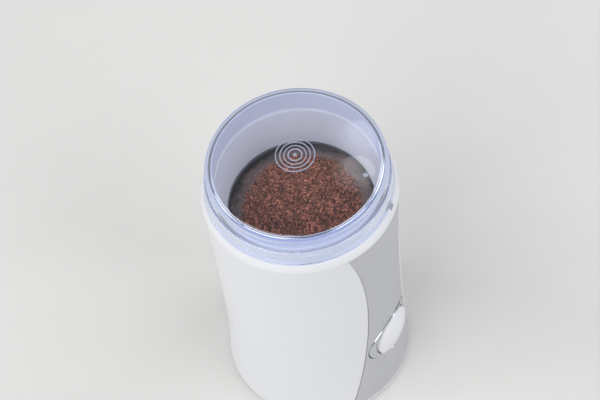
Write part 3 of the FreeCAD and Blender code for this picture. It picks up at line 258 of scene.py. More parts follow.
def surface(name, shells, sharp=None):
    """Object of one or more closed shells. A shell is a list of rows of points, wrapped in both
    directions, or has a pole at each end where its first and last rows shrink to a point."""
    all_points, quads, fans, start = [], [], [], 0
    for grid, poles in shells:
        rows, columns = grid.shape[:2]
        if poles:
            points = np.vstack((grid[0, :1], grid[1:-1].reshape(-1, 3), grid[-1, :1]))
            inner = grid_quads(rows - 2, columns, False, True) + 1
            here = np.arange(columns)
            there = (here + 1) % columns
            last = len(points) - 1
            top = last - columns
            ends = np.vstack((np.stack((np.zeros_like(here), there + 1, here + 1), -1),
                              np.stack((np.full_like(here, last), here + top, there + top), -1)))
            turned = outward(points, np.vstack((inner, ends[:, (0, 1, 2, 2)])))
            kept = len(inner)
            quads.append(turned[:kept] + start)
            flat = turned[kept:]
            fans.append(np.where(flat[:, :1] == flat[:, 1:2], flat[:, 1:], flat[:, :3]) + start)
        else:
            points = grid.reshape(-1, 3)
            quads.append(outward(points, grid_quads(rows, columns, True, True)) + start)
        all_points.append(points)
        start += len(points)
    mesh = bpy.data.meshes.new(name)
    faces = [face for block in quads + fans for face in block.tolist()]
    mesh.from_pydata(np.vstack(all_points).tolist(), [], faces)
    mesh.shade_smooth()
    if sharp is not None:
        mesh.set_sharp_from_angle(angle=math.radians(sharp))
    return new_object(name, mesh)


def turned(path, columns=256, place=(0, 0)):
    """Rows of points of an outline (radius, height) carried round the upright axis."""
    angle = np.linspace(0, 2 * math.pi, columns, endpoint=False)
    r, z = path[:, :1], path[:, 1:]
    return np.stack((r * np.cos(angle) + place[0], r * np.sin(angle) + place[1],
                     z * np.ones_like(angle)), -1)


def facing_front(grid):
    """A turned grid laid down so that its axis is the button's, pointing at -Y."""
    return np.stack((grid[..., 0], -grid[..., 2], grid[..., 1] + sizes("button").height), -1)


def box_shell(low, high, turn=0.0):
    """Plain box between two corners, turned about the upright axis, as rows with two poles."""
    (x0, y0, z0), (x1, y1, z1) = low, high
    ring = np.array(((x0, y0), (x1, y0), (x1, y1), (x0, y1)))
    middle = ring.mean(0)
    rows = [np.column_stack((xy, np.full(4, z))) for xy, z in
            ((middle + 0 * ring, z0), (ring, z0), (ring, z1), (middle + 0 * ring, z1))]
    grid = np.array(rows)
    c, s = math.cos(turn), math.sin(turn)
    return np.stack((grid[..., 0] * c - grid[..., 1] * s, grid[..., 0] * s + grid[..., 1] * c,
                     grid[..., 2]), -1), True


def cut_away(piece, *groups, sharp=35):
    """The piece less each group of closed shells, as one finished mesh. The shells of a group
    stay clear of each other."""
    cutters = [surface("cutter", shells) for shells in groups]
    for cutter in cutters:
        modifier = piece.modifiers.new("cut", "BOOLEAN")
        modifier.object = cutter
        modifier.solver = "EXACT"
    whole = piece.evaluated_get(bpy.context.evaluated_depsgraph_get())
    mesh = bpy.data.meshes.new_from_object(whole)
    if len(mesh.polygons) < len(piece.data.polygons) // 2:
        raise RuntimeError("the cuts take most of " + piece.name)
    piece.modifiers.clear()
    old, piece.data = piece.data, mesh
    mesh.name = piece.name
    spent = [old] + [cutter.data for cutter in cutters]
    for cutter in cutters:
        bpy.data.objects.remove(cutter)
    bpy.data.batch_remove(spent)
    mesh.shade_smooth()
    mesh.set_sharp_from_angle(angle=math.radians(sharp))
    return piece


def place(piece, body, slot, *nodes, looks=()):
    """The piece rides on its body, takes its finish and stands for its nodes. Looks are the
    finishes of its faces' material numbers, where they differ from the slot's."""
    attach(piece, body)
    numbers = np.zeros(len(piece.data.polygons), dtype=np.int32)
    piece.data.polygons.foreach_get("material_index", numbers)
    piece.data.materials.clear()
    for look in looks or (slot,):
        piece.data.materials.append(finish(look))
    piece.data.polygons.foreach_set("material_index", numbers)
    if nodes:
        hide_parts(*nodes)
        covered.update(nodes)
    return piece


# Shape of the body
def sagged(start, chord, rise, along):
    """Arc that leaves start squarely and has moved off by rise after a length of chord."""
    radius = (chord ** 2 + rise ** 2) / (2 * rise)
    return start + radius - np.sqrt(radius ** 2 - along ** 2)


def body_radius(z):
    b = sizes("body")
    low = sagged(b.waist_radius, b.waist_height - b.shell_bottom, b.base_radius - b.waist_radius,
                 z - b.waist_height)
    high = sagged(b.waist_radius, b.shell_top - b.waist_height, b.top_radius - b.waist_radius,
                  z - b.waist_height)
    return np.where(z < b.waist_height, low, high)


def panel_half_width(z):
    b, p = sizes("body"), sizes("panel")
    low = sagged(p.waist_half_width, p.waist_height - b.shell_bottom,
                 p.foot_half_width - p.waist_half_width, z - p.waist_height)
    high = sagged(p.waist_half_width, b.shell_top - p.waist_height,
                  p.head_half_width - p.waist_half_width, z - p.waist_height)
    return np.where(z < p.waist_height, low, high)


def on_front(x, z, inset):
    """Points of the body's front at x and z, moved in from its surface."""
    y = -np.sqrt((body_radius(z) - inset) ** 2 - x ** 2)
    return np.stack((x * np.ones_like(y), y, z * np.ones_like(y)), -1)


def rod_shell(radius, low, high, where=(0, 0), columns=48):
    path = np.array(((0, low), (radius, low), (radius, high), (0, high)))
    return turned(path, columns, where), True


def front_rod(radius, low, high, columns=96):
    return facing_front(rod_shell(radius, low, high, columns=columns)[0]), True


def screw_places():
    """Places of the three base screws about the axis."""
    return [(SCREW_CIRCLE * math.cos(turn), SCREW_CIRCLE * math.sin(turn))
            for turn in map(math.radians, SCREW_TURNS)]


# Operators
class GrinderOperator(bpy.types.Operator):
    bl_options = {"REGISTER", "UNDO"}

    def execute(self, context):
        self.build()
        return {"FINISHED"}


class GRINDER_OT_housing(GrinderOperator):
    """The waisted body: at each height a ring that follows the outer wall round the back,
    steps in at the side panel's edge and crosses under the panel"""
    bl_idname = "grinder.housing"
    bl_label = "Housing"

    def build(self):
        b, p = sizes("body"), sizes("panel")
        edge = 0.3 * MM
        seam = p.thickness + p.gap
        heights = np.concatenate(((0, 0.1, 0.3), np.linspace(1, 136, 70), (136.7, 136.9, 137)))
        z = (b.shell_bottom + heights / 137 * (b.shell_top - b.shell_bottom))[:, None]
        rolled = np.interp(np.minimum(z - b.shell_bottom, b.shell_top - z), (0, 0.1 * MM, edge),
                           (edge, edge / 3, 0))
        half = panel_half_width(z) + p.gap
        radius = body_radius(z)
        swing = np.linspace(0, math.pi / 2, 5)
        lip = np.stack((edge * (1 - np.sin(swing)), edge * (1 - np.cos(swing))))[:, ::-1]
        start = np.arcsin((half + 2 * edge) / radius)
        turn = start + (2 * math.pi - 2 * start) * np.linspace(0, 1, 230)
        back = np.stack(((radius - rolled) * np.sin(turn), -(radius - rolled) * np.cos(turn),
                         z * np.ones_like(turn)), -1)
        lip_x = half + np.concatenate((lip[0], (0, 0)))[::-1]
        lip_in = np.concatenate((lip[1], (seam - edge, seam)))[::-1]
        right = on_front(lip_x, z, lip_in + rolled)
        left = right[:, ::-1] * (-1, 1, 1)
        across = np.linspace(-1, 1, 42)[1:-1] * half
        under = on_front(across, z, seam + rolled)
        outer = np.concatenate((right, back, left, under), 1)
        flat = np.arctan2(outer[..., 0], -outer[..., 1])
        inner_radius = body_radius(z) - b.wall
        inner = np.stack((inner_radius * np.sin(flat), -inner_radius * np.cos(flat),
                          z * np.ones_like(flat)), -1)
        piece = surface("housing_shell", [(np.concatenate((outer, inner[::-1])), False)])
        rows, columns = 2 * len(z), outer.shape[1]
        # Faces of the pocket floor under the panel take a near-black finish: painted shade that
        # darkens the seams round the panel and the bezel.
        seam_shade_faces = np.zeros((rows, columns), dtype=np.int32)
        seam_shade_faces[:len(z) - 1, :2] = 1
        seam_shade_faces[:len(z) - 1, columns - across.shape[1] - 3:] = 1
        piece.data.polygons.foreach_set("material_index", seam_shade_faces.ravel())
        for slot in ("white_shell", "painted_seam_shade"):
            piece.data.materials.append(finish(slot))
        gland = np.array(((0, 20), (6.1, 20), (6.1, 60), (0, 60))) * MM
        hole = turned(gland, 64)
        gland_hole = np.stack((hole[..., 0], hole[..., 2], hole[..., 1] + CORD_HEIGHT), -1)
        bezel_hole = front_rod(BEZEL_TUBE + 0.1 * MM, 20 * MM, 60 * MM)
        cut_away(piece, [bezel_hole, (gland_hole, True)])
        place(piece, "base", "white_shell", "housing", "housing_foot",
              looks=("white_shell", "painted_seam_shade"))
        path = rounded_path([(1.6, 4.2, 0), (3.6, 4.2, 0.3), (3.6, 27, 0.3), (1.6, 27, 0)]) * MM
        posts = [(turned(path, 40, where), False) for where in screw_places()]
        place(surface("housing_posts", posts), "base", "white_shell")


class GRINDER_OT_panel(GrinderOperator):
    """The hourglass side panel: lines fan from the oval hole to the outline, and each end of
    the section rolls over its edge and returns along the back"""
    bl_idname = "grinder.panel"
    bl_label = "Side panel"

    def outline(self, count):
        """Outline of the panel from the middle of its head round to the right, spaced so that
        each point's turn about the button is half its own and half its share of the way."""
        b, p, k = sizes("body"), sizes("panel"), sizes("button")
        low, high = b.shell_bottom + p.gap, b.shell_top - p.gap
        side = np.linspace(high, low, 160)
        edge = panel_half_width(side)
        head = np.linspace(0, 1, 24)[:-1] * edge[0]
        foot = np.linspace(1, -1, 60)[1:-1] * edge[-1]
        x = np.concatenate((head, edge, foot, -edge[::-1], -head[:0:-1]))
        z = np.concatenate((head * 0 + high, side, foot * 0 + low, side[::-1], head[1:] * 0 + high))
        steps = np.hypot(np.diff(x, append=x[:1]), np.diff(z, append=z[:1]))
        share = np.concatenate(((0,), np.cumsum(steps)[:-1])) / steps.sum() * 2 * math.pi
        seen = np.unwrap(np.arctan2(x / k.bezel_half_width, (z - k.height) / k.bezel_half_height))
        turn = (share + seen) / 2
        wanted = np.linspace(0, 2 * math.pi, count, endpoint=False)
        around = np.concatenate((turn, (2 * math.pi,)))
        fx = np.interp(wanted, around, np.append(x, x[0]))
        fz = np.interp(wanted, around, np.append(z, z[0]))
        return wanted, fx, fz

    def build(self):
        p, k = sizes("panel"), sizes("button")
        turn, x, z = self.outline(720)
        away = np.stack((np.roll(z, 1) - np.roll(z, -1), np.roll(x, -1) - np.roll(x, 1)), -1)
        away = -unit(away + 1e-12)
        edge = 0.3 * MM
        gap = 0.45 * MM
        hole_x = (k.bezel_half_width + gap) * np.sin(turn)
        hole_z = k.height + (k.bezel_half_height + gap) * np.cos(turn)
        swing = np.linspace(0, math.pi / 2, 5)
        rolls = [(edge * (1 - math.sin(a)), edge * (1 - math.cos(a))) for a in swing]
        rows = []
        for share in np.concatenate(((0, 0.004), np.linspace(0.04, 0.96, 26))):
            rows.append((hole_x + (x - hole_x) * share, hole_z + (z - hole_z) * share, 0.0))
        rows.append((x - away[:, 0] * 2 * edge, z - away[:, 1] * 2 * edge, 0.0))
        for back, inset in rolls:
            rows.append((x - away[:, 0] * back, z - away[:, 1] * back, inset))
        rows.append((x, z, p.thickness))
        for share in (0.9, 0.6, 0.3, 0):
            rows.append((hole_x + (x - hole_x) * share, hole_z + (z - hole_z) * share, p.thickness))
        grid = np.stack([on_front(rx, rz, inset) for rx, rz, inset in rows])
        place(surface("side_panel_plate", [(grid, False)], sharp=60), "base", "grey_panel",
              "side_panel")


class GRINDER_OT_button(GrinderOperator):
    """The domed button, turned about its own axis, and its bezel, whose section blends from
    the round bore to the oval flange that follows the body"""
    bl_idname = "grinder.button"
    bl_label = "Button and bezel"

    def build(self):
        k, p = sizes("button"), sizes("panel")
        apex, rim = k.apex, k.apex - k.crown
        arc = (k.radius ** 2 + k.crown ** 2) / (2 * k.crown)
        out = np.linspace(0, k.radius - 0.7 * MM, 24)
        crown = [(r, apex - arc + math.sqrt(arc ** 2 - r ** 2), 0) for r in out]
        roof = rim - 2 * MM
        skirt = k.radius - 2 * MM
        tip = 38.5 * MM
        low = rim - k.skirt
        path = rounded_path(crown + [
            (k.radius, rim, 0.45 * MM), (k.radius, low, 0.2 * MM), (skirt, low, 0.2 * MM),
            (skirt, roof, 0.3 * MM), (3 * MM, roof, 0.3 * MM), (3 * MM, tip, 0.2 * MM),
            (0, tip, 0)], closed=False)
        cap = surface("push_button_cap", [(facing_front(turned(path, 160)), True)])
        place(cap, "push_button", "button_white", "button")
        turn = np.linspace(0, 2 * math.pi, 256, endpoint=False)
        bore, tube, stem = k.radius + 0.45 * MM, BEZEL_TUBE, 3.1 * MM
        back = 37.504 * MM
        floor = back + 0.8 * MM
        seat = p.thickness + 0.1 * MM
        proud = k.bezel_proud
        roll = 0.2 * MM

        def oval(grow):
            return ((k.bezel_half_width + grow) * np.sin(turn),
                    k.height + (k.bezel_half_height + grow) * np.cos(turn))

        def circle(radius):
            return radius * np.sin(turn), k.height + radius * np.cos(turn)

        def deep(xz, y):
            return np.stack((xz[0], np.full_like(xz[0], -y), xz[1]), -1)

        rows = [deep(circle(bore), floor), deep(circle(bore), floor + 4 * MM)]
        swing = np.linspace(0, math.pi / 2, 5)
        rows += [on_front(*circle(bore + roll * (1 - math.cos(a))),
                          -proud + roll * (1 - math.sin(a))) for a in swing]
        hole, rim_line = circle(bore + roll), oval(-roll)
        for share in (0.15, 0.35, 0.65, 0.85):
            x = hole[0] + (rim_line[0] - hole[0]) * share
            z = hole[1] + (rim_line[1] - hole[1]) * share
            rows.append(on_front(x, z, -proud - 0.15 * MM * math.sin(math.pi * share)))
        rows += [on_front(*oval(-roll * (1 - math.sin(a))), -proud + roll * (1 - math.cos(a)))
                 for a in swing]
        rows += [on_front(*oval(0), seat), on_front(*circle(tube), seat), deep(circle(tube), back),
                 deep(circle(stem), back), deep(circle(stem), floor)]
        place(surface("button_bezel_ring", [(np.stack(rows), False)], sharp=50), "base",
              "bezel_silver", "button_bezel")


class GRINDER_OT_collar(GrinderOperator):
    """The collar between body and lid, turned from its section, with the interlock's slots
    and finger notch cut away, and three lugs on its neck"""
    bl_idname = "grinder.collar"
    bl_label = "Upper collar"

    def build(self):
        b = sizes("body")
        m = MM
        rise = b.collar_shelf - b.shell_top
        shoulder = [(b.collar_radius - (b.collar_radius - b.collar_shoulder) * t ** 2,
                     b.shell_top + rise * t, 0) for t in np.linspace(0.2, 0.92, 8)]
        skirt = float(body_radius(np.array(b.skirt_bottom))) - b.wall - 0.1 * m
        seat_height, inside = 149.5 * m, skirt - 1.8 * m
        path = rounded_path([
            (skirt, b.shell_top, 0.1 * m), (b.collar_radius, b.shell_top, 0.3 * m), *shoulder,
            (b.collar_shoulder, b.collar_shelf, 0.35 * m), (b.neck_radius, b.collar_shelf, 0.3 * m),
            (b.neck_radius, b.neck_top, 0.4 * m), (39 * m, b.neck_top, 0.4 * m),
            (39 * m, seat_height, 0.1 * m), (38.1 * m, seat_height, 0.2 * m),
            (38.1 * m, 146.8 * m, 0.3 * m), (inside, 144.8 * m, 0.3 * m),
            (inside, b.skirt_bottom, 0.2 * m), (skirt, b.skirt_bottom, 0.2 * m)])
        piece = surface("collar_ring", [(turned(path, 256), False)])

        def slot(width, near, far, low, high):
            half = width / 2 * m
            return box_shell((-half, -far * m, low * m), (half, -near * m, high * m),
                             INTERLOCK_TURN)

        cut_away(piece, [slot(6.2, 39.8, 45.3, 127, 141.5)], [slot(6.2, 39.8, 41.6, 126, 142.9)],
                 [slot(6.2, 39.8, 42.6, 141.6, 147)], [slot(3.4, 42.2, 44.3, 143.8, 147)])
        place(piece, "base", "white_shell", "upper_collar")
        angle = np.linspace(0, 1, 14)
        lugs = []
        for middle in (97, 217, 337):
            around = np.radians(middle - 7 + 14 * angle)
            section = rounded_path([(39.8, 147.5, 0), (40.75, 147.5, 0.15), (40.75, 150.5, 0.15),
                                    (39.8, 150.5, 0)]) * m
            grid = np.stack((section[:, 0] * np.cos(around)[:, None],
                             section[:, 0] * np.sin(around)[:, None],
                             section[:, 1] * np.ones((14, 1))), -1)
            ends = [np.broadcast_to(row.mean(0), row.shape)[None] for row in (grid[0], grid[-1])]
            lugs.append((np.concatenate((ends[0], grid, ends[1])), True))
        place(surface("neck_lugs", lugs, sharp=40), "base", "white_shell")


class GRINDER_OT_cup(GrinderOperator):
    """The steel sleeve and the bowl under it, both turned from their sections"""
    bl_idname = "grinder.cup"
    bl_label = "Sleeve and bowl"

    def build(self):
        c = sizes("cup")
        m = MM
        top, outer = c.rim, c.radius
        step_high, step_low = CUP_STEP, CUP_STEP - 1.4 * m
        drawn = 0.6 * m
        rim = 36.3 * m
        path = rounded_path([
            (c.foot_radius, c.bottom, 0.2 * m), (rim, c.bottom, 0.2 * m),
            (rim, c.bottom + c.wall, 0.2 * m), (c.foot_radius + c.wall, c.bottom + c.wall, 0.3 * m),
            (outer - drawn, step_low, 0.5 * m), (outer, step_high, 0.5 * m),
            (outer, top - 1.5 * m, 0.25 * m), (outer + 0.4 * m, top - 1.1 * m, 0.25 * m),
            (outer + 0.4 * m, top, 0.35 * m), (outer - c.wall, top, 0.35 * m),
            (outer - c.wall, step_high, 0.5 * m), (outer - c.wall - drawn, step_low, 0.5 * m)])
        sleeve = surface("sleeve_shell", [(turned(path, 256), False)])
        place(sleeve, "base", "cup_steel", "hopper_sleeve")
        floor, wide = c.bowl_floor, c.bowl_radius
        dome = floor + 2.4 * m
        hole = 6.1 * m
        bowl = rounded_path([
            (rim, 127.8 * m, 0.1 * m), (rim, 128.6 * m, 0.3 * m), (wide, 128.6 * m, 0.35 * m),
            (wide, floor, 12 * m), (13 * m, floor, 3 * m), (8.5 * m, dome, 1 * m),
            (hole, dome, 0.1 * m), (hole, dome - c.wall, 0.1 * m), (8.5 * m, dome - c.wall, 1 * m),
            (13 * m, floor - c.wall, 3 * m), (wide + c.wall, floor - c.wall, 12.8 * m),
            (wide + c.wall, 127.8 * m, 0.2 * m)], steps=10)
        place(surface("bowl_shell", [(turned(bowl, 192), False)]), "base", "bowl_steel",
              "grinding_bowl")


class GRINDER_OT_lid(GrinderOperator):
    """The clear lid: the outline runs from the middle of the crown over its ring ridges and
    shoulder, down the wall and flange, and back along the inside, turned about the axis"""
    bl_idname = "grinder.lid"
    bl_label = "Clear lid"

    def crown(self, height, crown_radius, radius, shoulder, start):
        """Outline from start out over the crown and shoulder to the upright wall."""
        centre = height - crown_radius
        reach = radius - shoulder
        turn = centre + math.sqrt((crown_radius - shoulder) ** 2 - reach ** 2)
        lean = math.atan2(reach, turn - centre)
        top = np.linspace(math.asin(start / crown_radius), lean, 24)
        bend = np.linspace(lean, math.pi / 2, 14)[1:]
        r = np.concatenate((crown_radius * np.sin(top), reach + shoulder * np.sin(bend)))
        z = np.concatenate((centre + crown_radius * np.cos(top), turn + shoulder * np.cos(bend)))
        return [(a, b, 0) for a, b in zip(r, z)]

    def build(self):
        d = sizes("lid")
        m = MM
        soft = 0.12 * m

        def crown_at(r):
            return d.height - d.crown_radius + np.sqrt(d.crown_radius ** 2 - r ** 2)

        def mark(inner, outer, rise, where=(0, 0)):
            """Low ring, or a dot where inner is 0, that lies on the crown about a place."""
            lift = 0.01 * m
            path = [(outer, lift, 0), (outer - 0.12 * m, rise, soft)]
            if inner == 0:
                section = rounded_path([(0, lift, 0)] + path + [(0, rise, 0)], closed=False)
            else:
                section = rounded_path(path + [(inner + 0.12 * m, rise, soft), (inner, lift, 0)])
            shell = turned(section, 128 if inner else 64, where)
            shell[..., 2] += crown_at(np.hypot(shell[..., 0], shell[..., 1]))
            return shell, inner == 0

        ridges = [mark(inner * m, outer * m, d.ridge_rise) for inner, outer in
                  ((0, 0.9), (2.75, 3.4), (4.7, 5.2), (6.55, 7.05), (8.5, 9.0))]
        ridges.append(mark(0, 1.1 * m, 0.12 * m, (GATE_MARK[0] * m, GATE_MARK[1] * m)))
        # The ridges' pale frosted colour is partly painted highlight: it stands for the light that
        # the polished ridges catch.
        place(surface("lid_ring_ridges", ridges, sharp=40), "lid", "clear_lid",
              looks=("frosted_ridge_highlight",))
        outside = self.crown(d.height, d.crown_radius, d.radius, d.shoulder, 0)
        inside = self.crown(d.height - d.wall, d.crown_radius - d.wall, d.radius - d.wall,
                            d.shoulder - d.wall, 0)[::-1]
        top, low = d.flange_top, d.flange_bottom
        inner_flange = d.flange_radius - 2.2 * m
        skirt = [(d.radius, top + 1.0 * m, 0.3 * m), (d.radius + 0.3 * m, top, 0.15 * m),
                 (d.flange_radius - 0.85 * m, top, 0.4 * m),
                 (d.flange_radius, low, 0.4 * m), (inner_flange, low, 0.3 * m),
                 (inner_flange, top - 2 * m, 0.3 * m), (d.radius - d.wall, top - 1 * m, 0.3 * m)]
        path = rounded_path(outside + skirt + inside, closed=False)
        piece = surface("clear_lid_shell", [(turned(path, 256), True)])
        place(piece, "lid", "clear_lid", "lid")
        key = surface("lid_key", [box_shell((-2.5 * m, -42.5 * m, 143.05 * m),
                                            (2.5 * m, -41.05 * m, 146.15 * m), INTERLOCK_TURN)],
                      sharp=30)
        bevel = key.modifiers.new("soft edges", "BEVEL")
        bevel.width = 0.2 * m
        bevel.segments = 2
        place(key, "lid", "clear_lid")


class GRINDER_OT_base(GrinderOperator):
    """The base cover with its vents, the rubber feet and the cord gland"""
    bl_idname = "grinder.base"
    bl_label = "Base, feet and gland"

    def build(self):
        b = sizes("body")
        m = MM
        rim = b.base_radius + 0.1 * m
        low = BASE_BOX[0][2]
        floor = low + 2.4 * m
        spigot = b.base_radius - b.wall - 0.2 * m
        top = b.shell_bottom + 5.5 * m
        path = rounded_path([
            (0, low, 0), (rim, low, 1.2 * m), (rim, b.shell_bottom, 0.25 * m),
            (spigot, b.shell_bottom, 0.15 * m), (spigot - 0.4 * m, top, 0.3 * m),
            (spigot - 1.8 * m, top, 0.3 * m), (spigot - 1.8 * m, floor, 0.5 * m),
            (0, floor, 0)], closed=False)
        piece = surface("base_cover_plate", [(turned(path, 256), True)])
        cuts = [box_shell((14 * m, -1.1 * m, 0), (25 * m, 1.1 * m, 5 * m), math.radians(9 + 18 * i))
                for i in range(20)]
        heads = []
        for where in screw_places():
            cuts.append(rod_shell(1.6 * m, 0, 6 * m, where))
            heads.append(rod_shell(3 * m, 0, 2.9 * m, where))
        way = (FOOT_CIRCLE / math.sqrt(2)) * np.array(((1, 1), (-1, 1), (-1, -1), (1, -1)))
        cuts += [rod_shell(2.6 * m, 0, 6 * m, spot) for spot in way]
        cut_away(piece, cuts, heads)
        place(piece, "base", "white_shell", "base_cover")
        foot = rounded_path([(0, 0, 0), (6, 0, 0.5), (6, 1.5, 0.2), (2.5, 1.5, 0.1),
                             (2.5, 3.9, 0.1), (3.2, 3.9, 0.1), (2.0, 5.1, 0.2), (0, 5.1, 0)],
                            closed=False) * m
        feet = [(turned(foot, 64, spot), True) for spot in way]
        place(surface("rubber_feet_set", feet, sharp=60), "base", "soft_rubber", "rubber_feet")
        back = -float(GLAND_BOX[1][1])
        inside = float(GLAND_BOX[0][1])
        flange, shoulder = inside + 1.6 * m, 44.9 * m
        bore = rounded_path([(3.3 * m, inside, 0.2 * m), (7.4 * m, inside, 0.4 * m),
                             (7.4 * m, flange, 0.2 * m), (6 * m, flange, 0.1 * m),
                             (6 * m, shoulder, 0), (7.8 * m, shoulder, 0),
                             (7.8 * m, -back, 0.8 * m), (3.3 * m, -back, 0.3 * m)])
        grid = turned(bore, 96)
        seat = np.isclose(bore[:, 1], shoulder)
        laid = np.stack((grid[..., 0], grid[..., 2], grid[..., 1] + CORD_HEIGHT), -1)
        wall = np.sqrt((body_radius(laid[seat][..., 2]) + 0.05 * m) ** 2 - laid[seat][..., 0] ** 2)
        laid[seat, :, 1] = wall
        place(surface("gland_bush", [(laid, False)], sharp=50), "base", "black_plastic",
              "cord_gland")


class GRINDER_OT_fill(GrinderOperator):
    """A heap of ground coffee in the cup: a mound over a polar grid with seeded lumps, closed
    under the blade's room, and loose grains strewn over it"""
    bl_idname = "grinder.fill"
    bl_label = "Ground coffee"

    def mound(self, x, y):
        """Height of the heap: a broad crest off the middle, falling to the wall."""
        f = sizes("fill")
        away = np.hypot(x - 2 * MM, y + 3 * MM) / (36 * MM)
        low = np.clip(away, 0, 1)
        return f.edge + (f.crest - f.edge) * (1 - low ** 2.2)

    def build(self):
        f, c = sizes("fill"), sizes("cup")
        if not f.shown:
            return
        m = MM
        draw = np.random.default_rng(f.seed)
        wide = c.bowl_radius - 0.3 * m
        rings, columns = 110, 360
        r = np.concatenate(((0,), np.linspace(0.004, 1, rings) * wide))[:, None]
        angle = np.linspace(0, 2 * math.pi, columns, endpoint=False)
        x, y = r * np.cos(angle), r * np.sin(angle)
        ripples, spacing = 90, 3.2 * m
        waves = draw.normal(0, 1, (ripples, 2)) * 2 * math.pi / spacing
        phase = draw.uniform(0, 2 * math.pi, ripples)
        lumps = sum(np.sin(wx * x + wy * y + start) for (wx, wy), start in zip(waves, phase))
        speck = draw.normal(0, 0.16 * m, x.shape)
        z = self.mound(x, y) + lumps / math.sqrt(ripples / 2) * 0.28 * m + speck * (r > 0.5 * m)
        z[0] = z[0, 0]
        top = np.stack((x, y, z), -1)
        under = np.array(((33.3, 116.5), (29.8, 116.5), (29.8, 122.0), (27, 123.2), (0, 123.2))) * m
        grid = np.concatenate((top, turned(under, columns)))
        place(surface("ground_coffee_fill", [(grid, True)]), "base", "ground_coffee")
        self.grains(draw)

    def grains(self, draw):
        """Loose grains: each is a small lump of twelve corners, stretched and turned at random."""
        f = sizes("fill")
        count = f.count
        if count == 0:
            return
        gold = (1 + math.sqrt(5)) / 2
        ends = np.array([(0, s, t * gold) for s in (-1, 1) for t in (-1, 1)])
        ball = unit(np.vstack((ends, ends[:, (2, 0, 1)], ends[:, (1, 2, 0)])))
        faces = hull_faces(ball)
        r = 27.5 * MM * np.sqrt(draw.uniform(0, 1, count))
        a = draw.uniform(0, 2 * math.pi, count)
        x, y = r * np.cos(a) + GRAINS_MIDDLE[0], r * np.sin(a) + GRAINS_MIDDLE[1]
        size = (f.grain / 2 * draw.uniform(0.55, 1.25, (count, 1, 1))
                * draw.uniform(0.6, 1.2, (count, 1, 3)))
        turns = np.linalg.qr(draw.normal(0, 1, (count, 3, 3)))[0]
        corners = len(ball)
        rough = 1 + draw.normal(0, 0.14, (count, corners, 1))
        shapes = np.einsum("nij,nkj->nki", turns, ball[None] * rough * size)
        where = np.stack((x, y, self.mound(x, y) + draw.uniform(-0.1, 0.45, count) * MM), -1)
        points = (shapes + where[:, None]).reshape(-1, 3)
        faces = (faces[None] + corners * np.arange(count)[:, None, None]).reshape(-1, 3)
        mesh = bpy.data.meshes.new("coffee_grains")
        mesh.from_pydata(points.tolist(), [], faces.tolist())
        shade = mesh.attributes.new("shade", "FLOAT", "POINT")
        shade.data.foreach_set("value", np.repeat(draw.beta(1.3, 2.6, count), corners))
        place(new_object("coffee_grains", mesh), "base", "coffee_grain")


def hull_faces(points):
    """Triangles of a regular ball of twelve corners, each of three nearest neighbours."""
    gap = np.linalg.norm(points[:, None] - points[None], axis=-1)
    near = gap < 1.2 * gap[gap > 0].min()
    i, j, k = np.meshgrid(*[np.arange(len(points))] * 3, indexing="ij")
    keep = (i < j) & (j < k) & near[i, j] & near[j, k] & near[i, k]
    faces = np.stack((i[keep], j[keep], k[keep]), -1)
    a, b, c = points[faces[:, 0]], points[faces[:, 1]], points[faces[:, 2]]
    flip = np.einsum("ij,ij->i", np.cross(b - a, c - a), a) < 0
    faces[flip] = faces[flip][:, ::-1]
    return faces


class GRINDER_OT_inner(GrinderOperator):
    """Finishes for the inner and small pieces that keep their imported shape"""
    bl_idname = "grinder.inner"
    bl_label = "Inner pieces"

    def build(self):
        for part in frame["record"]["subparts"]:
            node = frame["nodes"][part["node"]]
            if node.name in covered:
                continue
            node.data.materials.clear()
            node.data.materials.append(finish(part["material_slot"]))


